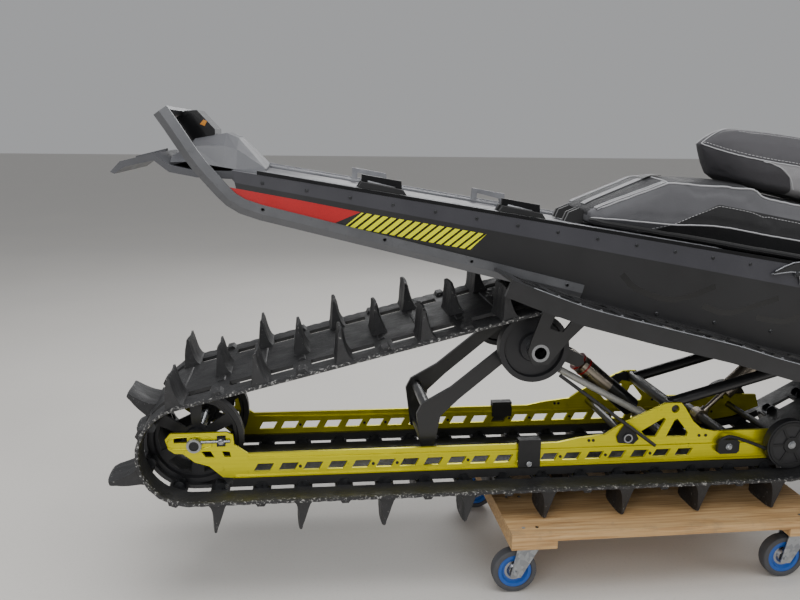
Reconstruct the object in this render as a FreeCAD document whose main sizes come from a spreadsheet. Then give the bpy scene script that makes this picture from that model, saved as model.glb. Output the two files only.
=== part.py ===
import FreeCAD, Part
import Sketcher
import math
import operator
import os
from types import SimpleNamespace

# A mountain snowmobile with its track on a wheeled wooden dolly and its skis on the floor.
# Millimetres. x runs forward from just ahead of the rear axle, y to the left, z up from the floor.
# Each piece is drawn in that frame, and its Placement brings the whole to its own middle.

SIZES = [
    # alias, value, what it measures
    ("rear_reach", 174.6, "rearmost lug tip behind the place that x is measured from"),
    ("front_reach", 2900, "foremost point of the skis ahead of that place"),
    ("axle_back", 9, "rear axle behind that place"),
    ("seat_gap", 0.3, "clearance between pieces that rest on each other"),
    ("pin_gap", 0.05, "radial running clearance of a pin or bolt"),
    ("deck_height", 160, "top of the dolly above the floor"),
    ("deck_board", 18, "thickness of the dolly's board"),
    ("deck_rear", 658, "rear edge of the dolly"),
    ("deck_length", 732, "length of the dolly"),
    ("deck_width", 520, "width of the dolly"),
    ("batten_width", 100, "width of a cross batten"),
    ("batten_thick", 18, "thickness of a cross batten"),
    ("caster_inset", 50, "swivel axis in from the end of the board"),
    ("caster_track", 410, "distance between left and right swivel axes"),
    ("caster_trail", 29, "wheel centre behind its swivel axis"),
    ("caster_radius", 50, "radius of a caster wheel"),
    ("caster_width", 28, "width of a caster wheel"),
    ("caster_axle", 5, "radius of a caster's axle"),
    ("caster_plate", 3, "thickness of a caster's top plate and fork"),
    ("lug_height", 67, "height of a track lug"),
    ("lug_base", 36, "length of a lug at the belt"),
    ("lug_tip", 5, "length of a lug at its tip"),
    ("belt_thickness", 8, "thickness of the rubber belt"),
    ("belt_width", 406, "width of the rubber belt"),
    ("track_pitch", 88.9, "distance from one row of lugs to the next"),
    ("lug_start", 51, "first outer lug ahead of the rear axle"),
    ("outer_lug_low", 98, "inner end of an outer lug from the middle"),
    ("centre_lug_half", 52, "half the width of a centre lug"),
    ("rear_wheel_radius", 102, "radius of a rear wheel"),
    ("rear_wheel_width", 24, "width of a rear wheel"),
    ("rear_wheel_track", 176, "distance between the rear wheels' middles"),
    ("rear_axle_radius", 12, "radius of the rear axle"),
    ("nose_wheel_radius", 58, "radius of the wheel at the rail's nose"),
    ("carrier_x", 715, "carrier wheel ahead of the rear axle"),
    ("carrier_z", 544, "carrier wheel above the floor"),
    ("carrier_radius", 77, "radius of a carrier wheel"),
    ("carrier_width", 25, "width of a carrier wheel"),
    ("carrier_track", 306, "distance between the carrier wheels' middles"),
    ("carrier_shaft", 19, "outer radius of the hollow carrier shaft"),
    ("carrier_bore", 13, "bore radius of the carrier shaft"),
    ("drive_ahead", 307.33, "drive axle ahead of the rail's curve, which sets the belt's length"),
    ("drive_z", 460, "drive axle above the floor"),
    ("sprocket_teeth", 7, "teeth of a drive sprocket"),
    ("sprocket_width", 22, "width of a drive sprocket"),
    ("tooth_base", 18, "length of a tooth where it enters the belt"),
    ("tooth_tip", 10, "length of a tooth at its tip"),
    ("tooth_reach", 6, "tooth beyond the belt's outer face"),
    ("belt_hole_length", 50, "length of a hole in the belt"),
    ("belt_hole_width", 34, "width of a hole in the belt"),
    ("drive_shaft_radius", 15, "radius of the drive shaft"),
    ("rail_spread", 256, "distance between the rails' middles"),
    ("rail_thick", 7, "thickness of a slide rail"),
    ("rail_foot", 258, "lower edge of the rail above the floor"),
    ("rail_curve_x", 1290, "where the rail starts to curve up"),
    ("rail_curve_radius", 350, "radius of the belt's middle round the rail's nose"),
    ("rail_nose", 130, "front end of the rail ahead of where it starts to curve up"),
    ("window_first", 113, "rear corner of the first rail window"),
    ("window_pitch", 53, "distance from one rail window to the next"),
    ("window_length", 35, "length of a rail window"),
    ("window_height", 18, "height of a rail window"),
    ("window_lean", 10, "forward lean of a rail window"),
    ("shoe_width", 21, "width of a slide shoe"),
    ("clip_height", 5, "height of the guide clips inside the belt"),
    ("clip_length", 30, "length of a guide clip"),
    ("clip_width", 24, "width of a guide clip"),
    ("tunnel_width", 430, "width of the tunnel"),
    ("tunnel_wall", 3, "thickness of the tunnel's plates"),
    ("tail_x", 93, "rear end of the tunnel"),
    ("tail_z", 918, "top of the tunnel at its rear end"),
    ("roof_x", 1640, "front end of the tunnel's straight top"),
    ("roof_z", 665, "top of the tunnel at that front end"),
    ("front_wall_x", 1810, "front wall of the tunnel"),
    ("anchor_y", 150, "cargo anchors out from the middle"),
    ("anchor_half", 42, "half the length of a cargo anchor"),
    ("anchor_height", 32, "height of a cargo anchor"),
    ("board_reach", 150, "running board out from the tunnel's side"),
    ("board_thick", 5, "thickness of a running board"),
    ("edge_depth", 34, "depth of a running board's outer edge"),
    ("edge_width", 10, "width of a running board's outer edge"),
    ("board_hole_length", 52, "length of a snow hole in a running board"),
    ("board_hole_pitch", 70, "distance from one snow hole to the next"),
    ("strip_depth", 30, "depth of the bumper strip"),
    ("strip_face", 17, "depth of the bumper strip's flat face"),
    ("strip_thick", 8, "thickness of the bumper strip"),
    ("panel_wall", 4, "thickness of the body panels"),
    ("panel_gap", 0.4, "gap where two body panels meet"),
    ("bulkhead_half", 120, "half width of the front frame's beam"),
    ("bulkhead_top", 395, "top of the front frame's beam"),
    ("engine_rear", 1832, "rear face of the engine"),
    ("engine_length", 260, "length of the engine"),
    ("engine_width", 380, "width of the engine"),
    ("engine_height", 290, "height of the engine"),
    ("stance", 914, "distance between the skis' middles"),
    ("joint_half", 400, "ball joints out from the middle"),
    ("low_joint_x", 2300, "lower ball joint ahead of the rear axle"),
    ("low_joint_z", 205, "lower ball joint above the floor"),
    ("high_joint_x", 2262, "upper ball joint ahead of the rear axle"),
    ("high_joint_z", 370, "upper ball joint above the floor"),
    ("joint_pin", 7, "radius of a ball joint's pin"),
    ("eye_radius", 17, "outer radius of an arm's eye"),
    ("eye_height", 24, "height of an arm's eye"),
    ("arm_radius", 12, "radius of a suspension arm's tube"),
    ("steer_arm_x", 2190, "outer end of the steering arm"),
    ("steer_arm_y", 385, "outer end of the steering arm from the middle"),
    ("steer_arm_z", 300, "outer end of the steering arm above the floor"),
    ("tie_inner_y", 60, "inner end of a tie rod from the middle"),
    ("tie_inner_z", 462, "inner end of a tie rod above the floor"),
    ("tie_radius", 7, "radius of a tie rod"),
    ("nose_tube", 9, "radius of the front bumper's tube"),
    ("nose_tube_x", 2590, "front of the front bumper"),
    ("nose_tube_z", 425, "front of the front bumper above the floor"),
    ("ski_bolt_x", 2330, "ski bolt ahead of the rear axle"),
    ("ski_bolt_z", 85, "ski bolt above the floor"),
    ("ski_bolt", 8, "radius of the ski bolt"),
    ("ski_boss", 18, "radius of the boss round the ski bolt"),
    ("ski_boss_length", 50, "length of the boss round the ski bolt"),
    ("ski_half", 78, "half width of a ski"),
    ("ski_tail", 440, "ski behind its bolt"),
    ("ski_tip", 570, "ski ahead of its bolt, as far as the loop"),
    ("post_foot_x", 2275, "lower end of the steering post"),
    ("post_foot_z", 545, "lower end of the steering post above the floor"),
    ("post_head_x", 1700, "upper end of the steering post"),
    ("post_head_z", 1190, "upper end of the steering post above the floor"),
    ("post_radius", 14, "radius of the steering post"),
    ("bar_radius", 11, "radius of the handlebar"),
    ("bar_half", 385, "half width of the handlebar"),
    ("grip_radius", 17, "radius of a grip"),
    ("grip_length", 125, "length of a grip"),
]


class Size(float):
    """A number read from the sheet, which keeps the formula that gave it."""

    def __new__(cls, number, formula):
        size = float.__new__(cls, number)
        size.formula = formula
        return size

    def __neg__(self):
        return Size(-float(self), f"(0 - {self.formula})")


def formula_of(number):
    return getattr(number, "formula", f"{float(number):.6f}")


def size_method(sign, work, swapped):
    def method(first, second):
        if swapped:
            first, second = second, first
        text = f"({formula_of(first)} {sign} {formula_of(second)})"
        return Size(work(float(first), float(second)), text)

    return method


for word, sign, work in (
    ("add", "+", operator.add),
    ("sub", "-", operator.sub),
    ("mul", "*", operator.mul),
    ("truediv", "/", operator.truediv),
):
    setattr(Size, f"__{word}__", size_method(sign, work, False))
    setattr(Size, f"__r{word}__", size_method(sign, work, True))


doc = FreeCAD.newDocument("snowmobile")
sheet = doc.addObject("Spreadsheet::Sheet", "sizes")
for row, (alias, number, meaning) in enumerate(SIZES, start=1):
    sheet.set(f"A{row}", meaning)
    sheet.set(f"B{row}", str(number))
    sheet.setAlias(f"B{row}", alias)
doc.recompute()
d = SimpleNamespace(**{alias: Size(number, f"sizes.{alias}") for alias, number, meaning in SIZES})

# Places that follow from the driving sizes.
d.belt_outer = d.deck_height + d.lug_height
d.belt_inner = d.belt_outer + d.belt_thickness
d.rear_axle_z = d.belt_inner + d.rear_wheel_radius
d.shift = -(d.front_reach - d.rear_reach) / 2
d.side = d.tunnel_width / 2
d.inside = d.side - d.tunnel_wall
d.board_side = d.side + d.board_reach
d.rail_y = d.rail_spread / 2
d.rail_nose_x = d.rail_curve_x + d.rail_nose
d.drive_x = d.rail_curve_x + d.drive_ahead
d.axle_x = -d.axle_back
d.sprocket_radius = d.track_pitch * d.sprocket_teeth / (2 * math.pi) - d.belt_thickness / 2
d.rail_outer = d.rail_spread / 2 + d.rail_thick / 2
d.rail_inner = d.rail_spread / 2 - d.rail_thick / 2
d.deck_under = d.deck_height - d.deck_board - d.batten_thick
d.shoe_foot = d.belt_inner + d.clip_height + d.seat_gap
d.curve_z = d.belt_outer + d.belt_thickness / 2 + d.rail_curve_radius
d.engine_front = d.engine_rear + d.engine_length
d.ski_y = d.stance / 2
d.strip_outer = d.side + d.strip_thick

UP = FreeCAD.Vector(0, 0, 1)
SIDES = (("left", 1), ("right", -1))
finished = []


def bind(thing, prop, number):
    """Sets a size, and ties it to the sheet if it came from there."""
    setattr(thing, prop, float(number))
    if hasattr(number, "formula"):
        thing.setExpression(prop, number.formula)


def place(thing, x=0, y=0, z=0, turn=None):
    thing.Placement = FreeCAD.Placement(FreeCAD.Vector(x, y, z), turn or FreeCAD.Rotation())
    for letter, number in zip("xyz", (x, y, z)):
        if hasattr(number, "formula"):
            thing.setExpression(f"Placement.Base.{letter}", number.formula)


def finish(thing, label):
    """Names a finished piece and brings it from the rear axle to the whole part's middle."""
    thing.Label = label
    place(thing, d.shift)
    finished.append(thing)
    return thing


def vector(point):
    return FreeCAD.Vector(*(float(number) for number in point))


def on_side(sign, point):
    """The same point on the left (1) or on the right (-1)."""
    return (point[0], sign * point[1], point[2])


def span(sign, low, high):
    """The range between two distances from the middle, on the left (1) or on the right (-1)."""
    return (low, high) if sign > 0 else (-high, -low)


# Primitives.


def box(name, xs, ys, zs):
    """A block from the low to the high value of each pair."""
    block = doc.addObject("Part::Box", name)
    for prop, (low, high) in zip(("Length", "Width", "Height"), (xs, ys, zs)):
        bind(block, prop, high - low)
    place(block, xs[0], ys[0], zs[0])
    return block


def rod(name, radius, start, end):
    """A round bar between two points."""
    along = vector(end) - vector(start)
    bar = doc.addObject("Part::Cylinder", name)
    bind(bar, "Radius", radius)
    bar.Height = along.Length
    place(bar, *start, turn=FreeCAD.Rotation(UP, along))
    return bar


def axle(name, radius, x, z, ys):
    """A round bar that lies across the machine."""
    bar = doc.addObject("Part::Cylinder", name)
    bind(bar, "Radius", radius)
    bind(bar, "Height", ys[1] - ys[0])
    place(bar, x, ys[0], z, FreeCAD.Rotation(FreeCAD.Vector(1, 0, 0), -90))
    return bar


def tube_run(name, radius, points):
    """Round bars led through points, each run on past a bend until the outer sides meet."""
    places = [vector(point) for point in points]
    headings = [(end - start).normalize() for start, end in zip(places, places[1:])]
    bars = []
    for index, heading in enumerate(headings):
        start, end = places[index], places[index + 1]
        if index:
            start = start - heading * past_bend(radius, headings[index - 1], heading)
        if index + 1 < len(headings):
            end = end + heading * past_bend(radius, heading, headings[index + 1])
        bars.append(rod(f"{name}_{index}", radius, tuple(start), tuple(end)))
    return bars


def past_bend(radius, before, after):
    """A little more than the outer sides need, so that the end stands just proud of the bend."""
    return 1.2 * float(radius) * math.tan(before.getAngle(after) / 2)


def joined(name, things):
    whole = doc.addObject("Part::MultiFuse", name)
    whole.Shapes = things
    whole.Refine = True
    return whole


def less(name, base, tool):
    rest = doc.addObject("Part::Cut", name)
    rest.Base = base
    rest.Tool = tool
    return rest


def group(name, things):
    """Pieces that share a node and don't touch."""
    whole = doc.addObject("Part::Compound", name)
    whole.Links = things
    return whole


def solid(name, shape):
    """A piece whose shape comes from a loft, a belt run or an outline with arcs."""
    piece = doc.addObject("Part::Feature", name)
    piece.Shape = shape
    return piece


# Sketched pieces.


def origin_plane(body, role):
    return next(part for part in body.Origin.OriginFeatures if part.Role == role)


def draw(sketch, points):
    """Draws a closed outline of straight sides, each corner tied to its own place."""
    first = sketch.GeometryCount
    count = len(points)
    corners = [FreeCAD.Vector(float(u), float(v), 0) for u, v in points]
    sketch.addGeometry(
        [Part.LineSegment(corners[i], corners[(i + 1) % count]) for i in range(count)]
    )
    for i, point in enumerate(points):
        sketch.addConstraint(
            Sketcher.Constraint("Coincident", first + i, 2, first + (i + 1) % count, 1)
        )
        for kind, axis, number in zip(("DistanceX", "DistanceY"), (-2, -1), point):
            if abs(number) < 1e-9:
                sketch.addConstraint(Sketcher.Constraint("PointOnObject", first + i, 1, axis))
                continue
            index = sketch.addConstraint(
                Sketcher.Constraint(kind, -1, 1, first + i, 1, float(number))
            )
            if hasattr(number, "formula"):
                sketch.setExpression(f"Constraints[{index}]", number.formula)


def new_sketch(body, name, role, height):
    """A sketch laid on one of the body's own planes, moved along that plane's normal."""
    sketch = body.newObject("Sketcher::SketchObject", name)
    sketch.AttachmentSupport = [(origin_plane(body, role), "")]
    sketch.MapMode = "FlatFace"
    sketch.AttachmentOffset = FreeCAD.Placement(
        FreeCAD.Vector(0, 0, float(height)), FreeCAD.Rotation()
    )
    if hasattr(height, "formula"):
        sketch.setExpression("AttachmentOffset.Base.z", height.formula)
    return sketch


def plate(name, points, ys):
    """A body cut to a side outline of (x, z) points, standing from the low to the high y."""
    body = doc.addObject("PartDesign::Body", name)
    sketch = new_sketch(body, name + "_outline", "XZ_Plane", -ys[1])
    draw(sketch, points)
    pad = body.newObject("PartDesign::Pad", name + "_pad")
    pad.Profile = sketch
    bind(pad, "Length", ys[1] - ys[0])
    return body


def cut_through(body, name, outlines, ys):
    """Cuts side outlines right through a plate between two values of y."""
    sketch = new_sketch(body, name + "_outline", "XZ_Plane", -ys[1])
    for points in outlines:
        draw(sketch, points)
    pocket = body.newObject("PartDesign::Pocket", name)
    pocket.Profile = sketch
    pocket.Reversed = True
    bind(pocket, "Length", ys[1] - ys[0])
    return pocket


def turned(name, profile, x, z):
    """A round piece across the machine, turned from (y, radius) points about an axis at x, z."""
    body = doc.addObject("PartDesign::Body", name)
    sketch = new_sketch(body, name + "_profile", "YZ_Plane", 0)
    draw(sketch, profile)
    turn = body.newObject("PartDesign::Revolution", name + "_turn")
    turn.Profile = sketch
    turn.ReferenceAxis = (sketch, ["H_Axis"])
    turn.Angle = 360
    place(body, x, 0, z)
    return body


# Shapes in code.


def outline(points):
    """A flat face in the side view from (x, z) points."""
    corners = [FreeCAD.Vector(float(x), 0, float(z)) for x, z in points]
    return Part.Face(Part.makePolygon(corners + corners[:1]))


def across(face, low, high):
    """A side face made solid between two values of y."""
    moved = face.translated(FreeCAD.Vector(0, float(low), 0))
    return moved.extrude(FreeCAD.Vector(0, float(high) - float(low), 0))


def around(middle, width):
    return (middle - width / 2, middle + width / 2)


def section(x, half):
    """A closed loop at x from half an outline of (y, z), lowest point first."""
    right = [(x, -y, z) for y, z in half]
    left = [(x, y, z) for y, z in reversed(half) if y > 0]
    return [vector(point) for point in right + left]


def inset(loop, wall):
    """A loop at one x with every side moved inwards by a wall, or outwards by a negative one."""
    count = len(loop)
    turn = sum(loop[i - 1].y * loop[i].z - loop[i].y * loop[i - 1].z for i in range(count))
    inward = []
    for i in range(count):
        side = (loop[(i + 1) % count] - loop[i]).normalize()
        inward.append(FreeCAD.Vector(0, -side.z, side.y) * math.copysign(1, turn))
    moved = []
    for i in range(count):
        before, after = inward[i - 1], inward[i]
        moved.append(loop[i] + (before + after) * (wall / (1 + before.dot(after))))
    return moved


def facet(corners):
    return Part.Face(Part.makePolygon(corners + corners[:1]))


def loft(loops):
    """A closed body with flat sides between loops that have the same number of points."""
    faces = [facet(loops[0]), facet(loops[-1])]
    for low, high in zip(loops, loops[1:]):
        middle = sum(low + high, FreeCAD.Vector()) * (1 / len(low + high))
        for i, corner in enumerate(low):
            j = (i + 1) % len(low)
            a, b, c, e = corner, low[j], high[j], high[i]
            across_quad = (b - a).cross(c - a)
            if abs(across_quad.normalize().dot(e - a)) < 1e-6:
                faces.append(facet([a, b, c, e]))
            elif ((a + c) / 2 - middle).Length > ((b + e) / 2 - middle).Length:
                faces += [facet([a, b, c]), facet([a, c, e])]
            else:
                faces += [facet([a, b, e]), facet([b, c, e])]
    body = Part.Solid(Part.Shell(faces))
    if body.Volume < 0:
        body.reverse()
    return body


# The track is a belt led round circles of (x, z, radius at the middle of the belt).
half_belt = d.belt_thickness / 2
GUIDES = [
    (d.axle_x, d.rear_axle_z, d.rear_wheel_radius + half_belt),
    (d.rail_curve_x, d.curve_z, d.rail_curve_radius),
    (d.drive_x, d.drive_z, d.sprocket_radius + half_belt),
    (d.carrier_x, d.carrier_z, d.carrier_radius + half_belt),
]


def belt_runs(grow):
    """Straight and curved runs of the belt, anticlockwise, moved outwards by grow."""
    circles = [(float(x), float(z), float(r) + grow) for x, z, r in GUIDES]
    normals = []
    for (x0, z0, r0), (x1, z1, r1) in zip(circles, circles[1:] + circles[:1]):
        heading = math.atan2(z1 - z0, x1 - x0)
        normals.append(heading - math.acos((r0 - r1) / math.hypot(x1 - x0, z1 - z0)))
    runs = []
    for i, (x, z, r) in enumerate(circles):
        enter = normals[i - 1]
        leave = enter + (normals[i] - enter) % (2 * math.pi)
        next_x, next_z, next_r = circles[(i + 1) % len(circles)]
        start = (x + r * math.cos(leave), z + r * math.sin(leave))
        end = (next_x + next_r * math.cos(leave), next_z + next_r * math.sin(leave))
        runs.append(("arc", (x, z, r), enter, leave))
        runs.append(("line", start, end, leave))
    return runs


def run_length(run):
    kind, first, second, third = run
    if kind == "arc":
        return first[2] * (third - second)
    return math.dist(first, second)


def belt_wire(grow):
    edges = []
    for kind, first, second, third in belt_runs(grow):
        if kind == "arc":
            x, z, r = first
            angles = (second, (second + third) / 2, third)
            edges.append(
                Part.Arc(
                    *(FreeCAD.Vector(x + r * math.cos(a), 0, z + r * math.sin(a)) for a in angles)
                ).toShape()
            )
        else:
            ends = [FreeCAD.Vector(x, 0, z) for x, z in (first, second)]
            edges.append(Part.LineSegment(*ends).toShape())
    return Part.Wire(Part.__sortEdges__(edges))


def belt_place(distance):
    """Middle of the belt and its outward angle, a distance on from below the rear axle."""
    runs = belt_runs(0.0)
    runs = runs[1:] + runs[:1]
    distance %= sum(run_length(run) for run in runs)
    for run in runs:
        length = run_length(run)
        if distance <= length:
            break
        distance -= length
    kind, first, second, third = run
    if kind == "arc":
        x, z, r = first
        angle = second + distance / r
        return x + r * math.cos(angle), z + r * math.sin(angle), angle
    share = distance / length
    return (
        first[0] + (second[0] - first[0]) * share,
        first[1] + (second[1] - first[1]) * share,
        third,
    )


def on_belt(distance, profile):
    """A side face of (along, out from the belt's middle) points set on the belt."""
    x, z, angle = belt_place(distance)
    out = (math.cos(angle), math.sin(angle))
    ahead = (-out[1], out[0])
    return outline(
        [(x + ahead[0] * u + out[0] * w, z + ahead[1] * u + out[1] * w) for u, w in profile]
    )


belt_total = sum(run_length(run) for run in belt_runs(0.0))
track_rows = round(belt_total / float(d.track_pitch))
row_pitch = belt_total / track_rows


def hole_place(row):
    """How far along the belt the holes behind a row of lugs are."""
    return float(d.lug_start) + (row - 0.5) * row_pitch


def make_track():
    """The belt with its lugs outside, its drive holes, and a guide clip at every second row."""
    half = float(d.belt_width) / 2
    thick = float(half_belt)
    ring = Part.Face(belt_wire(thick)).cut(Part.Face(belt_wire(-thick)))
    belt = across(ring, -half, half)
    root = 2
    tip = thick + float(d.lug_height)
    half_outline = [(0.5, 0.0), (0.34, 0.32), (0.19, 0.74)]
    flank = [(float(d.lug_base) * half, thick + float(d.lug_height) * rise) for half, rise in half_outline]
    flank[0] = (flank[0][0], thick - root)
    flank.append((float(d.lug_tip) / 2, tip))
    lug_profile = [(-u, w) for u, w in flank] + [(u, w) for u, w in reversed(flank)]
    # On a curve the belt bends away from the straight cutter, so it reaches well past both faces.
    hole = d.belt_hole_length / 2
    past_face = 3 * thick
    hole_profile = [(-hole, -past_face), (hole, -past_face), (hole, past_face), (-hole, past_face)]
    clip = d.clip_length / 2
    clip_top = -thick - d.clip_height
    clip_profile = [(-clip, 1 - thick), (clip, 1 - thick), (clip - 3, clip_top), (3 - clip, clip_top)]
    lugs, holes, clips = [], [], []
    for row in range(track_rows):
        distance = float(d.lug_start) + row * row_pitch
        lug = on_belt(distance, lug_profile)
        gap = on_belt(hole_place(row), hole_profile)
        for side, sign in SIDES:
            holes.append(across(gap, *around(sign * d.rail_y, d.belt_hole_width)))
            if row % 2:
                width = around(sign * d.rail_y, d.clip_width)
                clips.append(across(on_belt(distance, clip_profile), *width))
            else:
                lugs.append(across(lug, *span(sign, d.outer_lug_low, half - 4)))
        if row % 2:
            lugs.append(across(lug, -d.centre_lug_half, d.centre_lug_half))
    return belt.cut(Part.makeCompound(holes)).multiFuse(lugs + clips)


finish(solid("track_shape", make_track()), "track")


# Slide rails: a sheet outline with a row of windows, an apex for the front arm and a rear plate.
d.rail_top = d.rail_foot + 54
RAIL = [
    (69, d.rail_foot),
    (d.rail_curve_x, d.rail_foot),
    (1350, d.rail_foot + 8),
    (d.rail_nose_x, d.rail_foot + 33),
    (d.rail_nose_x - 10, d.rail_foot + 66),
    (1319, 327),
    (1161, 327),
    (1129, 334),
    (1107, 353),
    (1085, 387),
    (1075, 398),
    (1040, 398),
    (930, 348),
    (901, 328),
    (837, 321),
    (790, d.rail_top),
    (102, d.rail_top),
    (74, 333),
    (72, 356),
    (58, 362),
    (d.axle_x - 50, 362),
    (d.axle_x - 61, 349),
    (d.axle_x - 55, 327),
    (d.axle_x - 42, 317),
    (-34, 316),
    (-10, 296),
    (20, 286),
    (48, 260),
]


def rail_window(x):
    low = d.rail_foot + 12
    high = low + d.window_height
    return [
        (x, low),
        (x + d.window_length, low),
        (x + d.window_length + d.window_lean, high),
        (x + d.window_lean, high),
    ]


def round_hole(x, z, radius):
    """Corners of a round hole in the side view."""
    steps = [index * math.pi / 8 for index in range(16)]
    return [(x + radius * math.cos(step), z + radius * math.sin(step)) for step in steps]


# Two cut-outs under the apex, the front arm's hole, the slot in the rear plate where the axle is drawn
# back, and three windows beside and below that slot.
RAIL_CUTS = [
    [(984, 333), (1036, 364), (1041, 359), (1020, 318), (996, 320)],
    [(1062, 357), (1069, 360), (1096, 327), (1094, 317), (1044, 317)],
    round_hole(1062, 384, 9.5),
    [(-52, 341), (-24, 341), (-24, 353), (-52, 353)],
    [(37, 330), (56, 330), (57, 355), (38, 355)],
    [(13, 307), (32, 306), (24, 320), (4, 320)],
    [(53, 306), (67, 306), (64, 318), (48, 319)],
]


def make_rail(label, ys):
    body = plate(label + "_body", RAIL, ys)
    cut_through(body, label + "_cuts", RAIL_CUTS, ys)
    windows = cut_through(body, label + "_windows", [rail_window(d.window_first)], ys)
    row = body.newObject("PartDesign::LinearPattern", label + "_row")
    row.Originals = [windows]
    row.Direction = (windows.Profile[0], ["H_Axis"])
    row.Occurrences = 19
    bind(row, "Length", d.window_pitch * 18)
    body.Tip = row
    return finish(body, label)


for side, sign in SIDES:
    make_rail(f"rail_{side}", span(sign, d.rail_inner, d.rail_outer))


def arc_outline(start, bend, lower, upper):
    """A strip between two heights from start to bend, then curving up with the belt."""
    x, z = float(bend[0]), float(bend[1])
    radii = (z - float(lower), z - float(upper))
    reach = math.asin((float(d.rail_nose_x) - x) / radii[0])
    ends = []
    for radius in radii:
        points = [
            FreeCAD.Vector(x + radius * math.sin(a), 0, z - radius * math.cos(a))
            for a in (0, reach / 2, reach)
        ]
        ends.append(points)
    low, high = ends
    first_low = FreeCAD.Vector(float(start), 0, float(lower))
    first_high = FreeCAD.Vector(float(start), 0, float(upper))
    edges = [
        Part.LineSegment(first_low, low[0]),
        Part.Arc(*low),
        Part.LineSegment(low[2], high[2]),
        Part.Arc(*high),
        Part.LineSegment(high[0], first_high),
        Part.LineSegment(first_high, first_low),
    ]
    return Part.Face(Part.Wire(Part.__sortEdges__([edge.toShape() for edge in edges])))


SADDLE = (698, 748)
d.saddle_top = d.rail_foot + 60


def saddle(sign):
    """A stop block for the suspension, clipped over the rail."""
    inner, outer = d.rail_inner - d.seat_gap, d.rail_outer + d.seat_gap
    low, high = d.rail_foot + 2, d.saddle_top
    outline_yz = [
        (outer, low),
        (outer + 9, low),
        (outer + 9, high + 6),
        (inner - 6, high + 6),
        (inner - 6, low + 26),
        (inner, low + 26),
        (inner, high),
        (outer, high),
    ]
    start = facet([vector((SADDLE[0], sign * y, z)) for y, z in outline_yz])
    return start.extrude(FreeCAD.Vector(SADDLE[1] - SADDLE[0], 0, 0))


def make_shoes():
    """Wear strips under the rails, and a stop block over each rail."""
    face = arc_outline(70, (d.rail_curve_x, d.curve_z), d.shoe_foot, d.rail_foot - d.seat_gap)
    strips = [across(face, *around(sign * d.rail_y, d.shoe_width)) for side, sign in SIDES]
    return Part.makeCompound(strips + [saddle(sign) for side, sign in SIDES])


finish(solid("shoe_shape", make_shoes()), "slide_shoes")


# Wheels inside the track.


def wheel(name, radius, bore, width, y, x, z):
    """A plain wheel across the machine, with its bore."""
    low, high = around(y, width)
    disc = axle(name + "_disc", radius, x, z, (low, high))
    hole = axle(name + "_hole", bore, x, z, (low - 1, high + 1))
    return less(name, disc, hole)


def spoke_gaps(x, z, inner, outer, count):
    """Outlines of the openings between the spokes of a wheel."""
    step = 2 * math.pi / count
    gaps = []
    for index in range(count):
        corners = []
        for radius, turn in ((inner, -0.22), (outer, -0.34), (outer + 1, 0.0), (outer, 0.34), (inner, 0.22)):
            angle = index * step + turn * step
            corners.append((x + radius * math.cos(angle), z + radius * math.sin(angle)))
        gaps.append(corners)
    return gaps


def dished_wheel(name, radius, bore, width, y, x, z):
    """A moulded wheel: a rim and a hub joined by a thin web."""
    low, high = around(y, width)
    hub = bore + 11
    rim = radius - 11
    web = 4
    profile = [
        (low, bore),
        (high, bore),
        (high, hub),
        (y + web, hub + 3),
        (y + web, rim - 3),
        (high, rim),
        (high, radius),
        (low, radius),
        (low, rim),
        (y - web, rim - 3),
        (y - web, hub + 3),
        (low, hub),
    ]
    return turned(name, profile, x, z)


def spoked_wheel(name, radius, bore, width, y, x, z, count):
    """A moulded wheel with openings in its web between the spokes."""
    low, high = around(y, width)
    body = dished_wheel(name + "_turned", radius, bore, width, y, x, z)
    inner, outer = float(bore) + 20, float(radius) - 20
    outlines = spoke_gaps(float(x), float(z), inner, outer, count)
    gaps = [across(outline(points), low, high) for points in outlines]
    return less(name, body, solid(name + "_gaps", Part.makeCompound(gaps)))


rear_wheels = [
    spoked_wheel(
        f"rear_wheel_{side}",
        d.rear_wheel_radius - d.seat_gap,
        d.rear_axle_radius,
        d.rear_wheel_width,
        sign * d.rear_wheel_track / 2,
        d.axle_x,
        d.rear_axle_z,
        6,
    )
    for side, sign in SIDES
]
finish(group("rear_wheel_pair", rear_wheels), "rear_wheels")
d.axle_nut = d.rear_axle_radius + 4
axle_nuts = []
for side, sign in SIDES:
    nut_ys = span(sign, d.rail_outer, d.rail_outer + 10)
    axle_nuts.append(axle(f"rear_axle_nut_{side}", d.axle_nut, d.axle_x, d.rear_axle_z, nut_ys))
rear_bar = axle("rear_axle_bar", d.rear_axle_radius, d.axle_x, d.rear_axle_z, (-d.rail_inner, d.rail_inner))
finish(joined("rear_axle_set", [rear_bar] + axle_nuts), "rear_axle")

d.nose_wheel_x = d.rail_nose_x - 85
d.nose_wheel_z = d.belt_inner + d.nose_wheel_radius + 6
nose_wheels = [
    wheel(
        f"nose_wheel_{side}",
        d.nose_wheel_radius,
        8.0,
        20.0,
        sign * (d.rail_outer + 19),
        d.nose_wheel_x,
        d.nose_wheel_z,
    )
    for side, sign in SIDES
]
nose_axle = axle(
    "nose_axle",
    8.0,
    d.nose_wheel_x,
    d.nose_wheel_z,
    (-d.rail_outer - 31, d.rail_outer + 31),
)
rail_gaps = [
    box(
        f"nose_axle_gap_{side}",
        (d.nose_wheel_x - 20, d.nose_wheel_x + 20),
        span(sign, d.rail_inner, d.rail_outer),
        (d.nose_wheel_z - 20, d.nose_wheel_z + 20),
    )
    for side, sign in SIDES
]
nose_axle_ends = less("nose_axle_ends", nose_axle, joined("nose_axle_gaps", rail_gaps))
finish(joined("nose_wheel_set", nose_wheels + [nose_axle_ends]), "rail_wheels")

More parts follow.
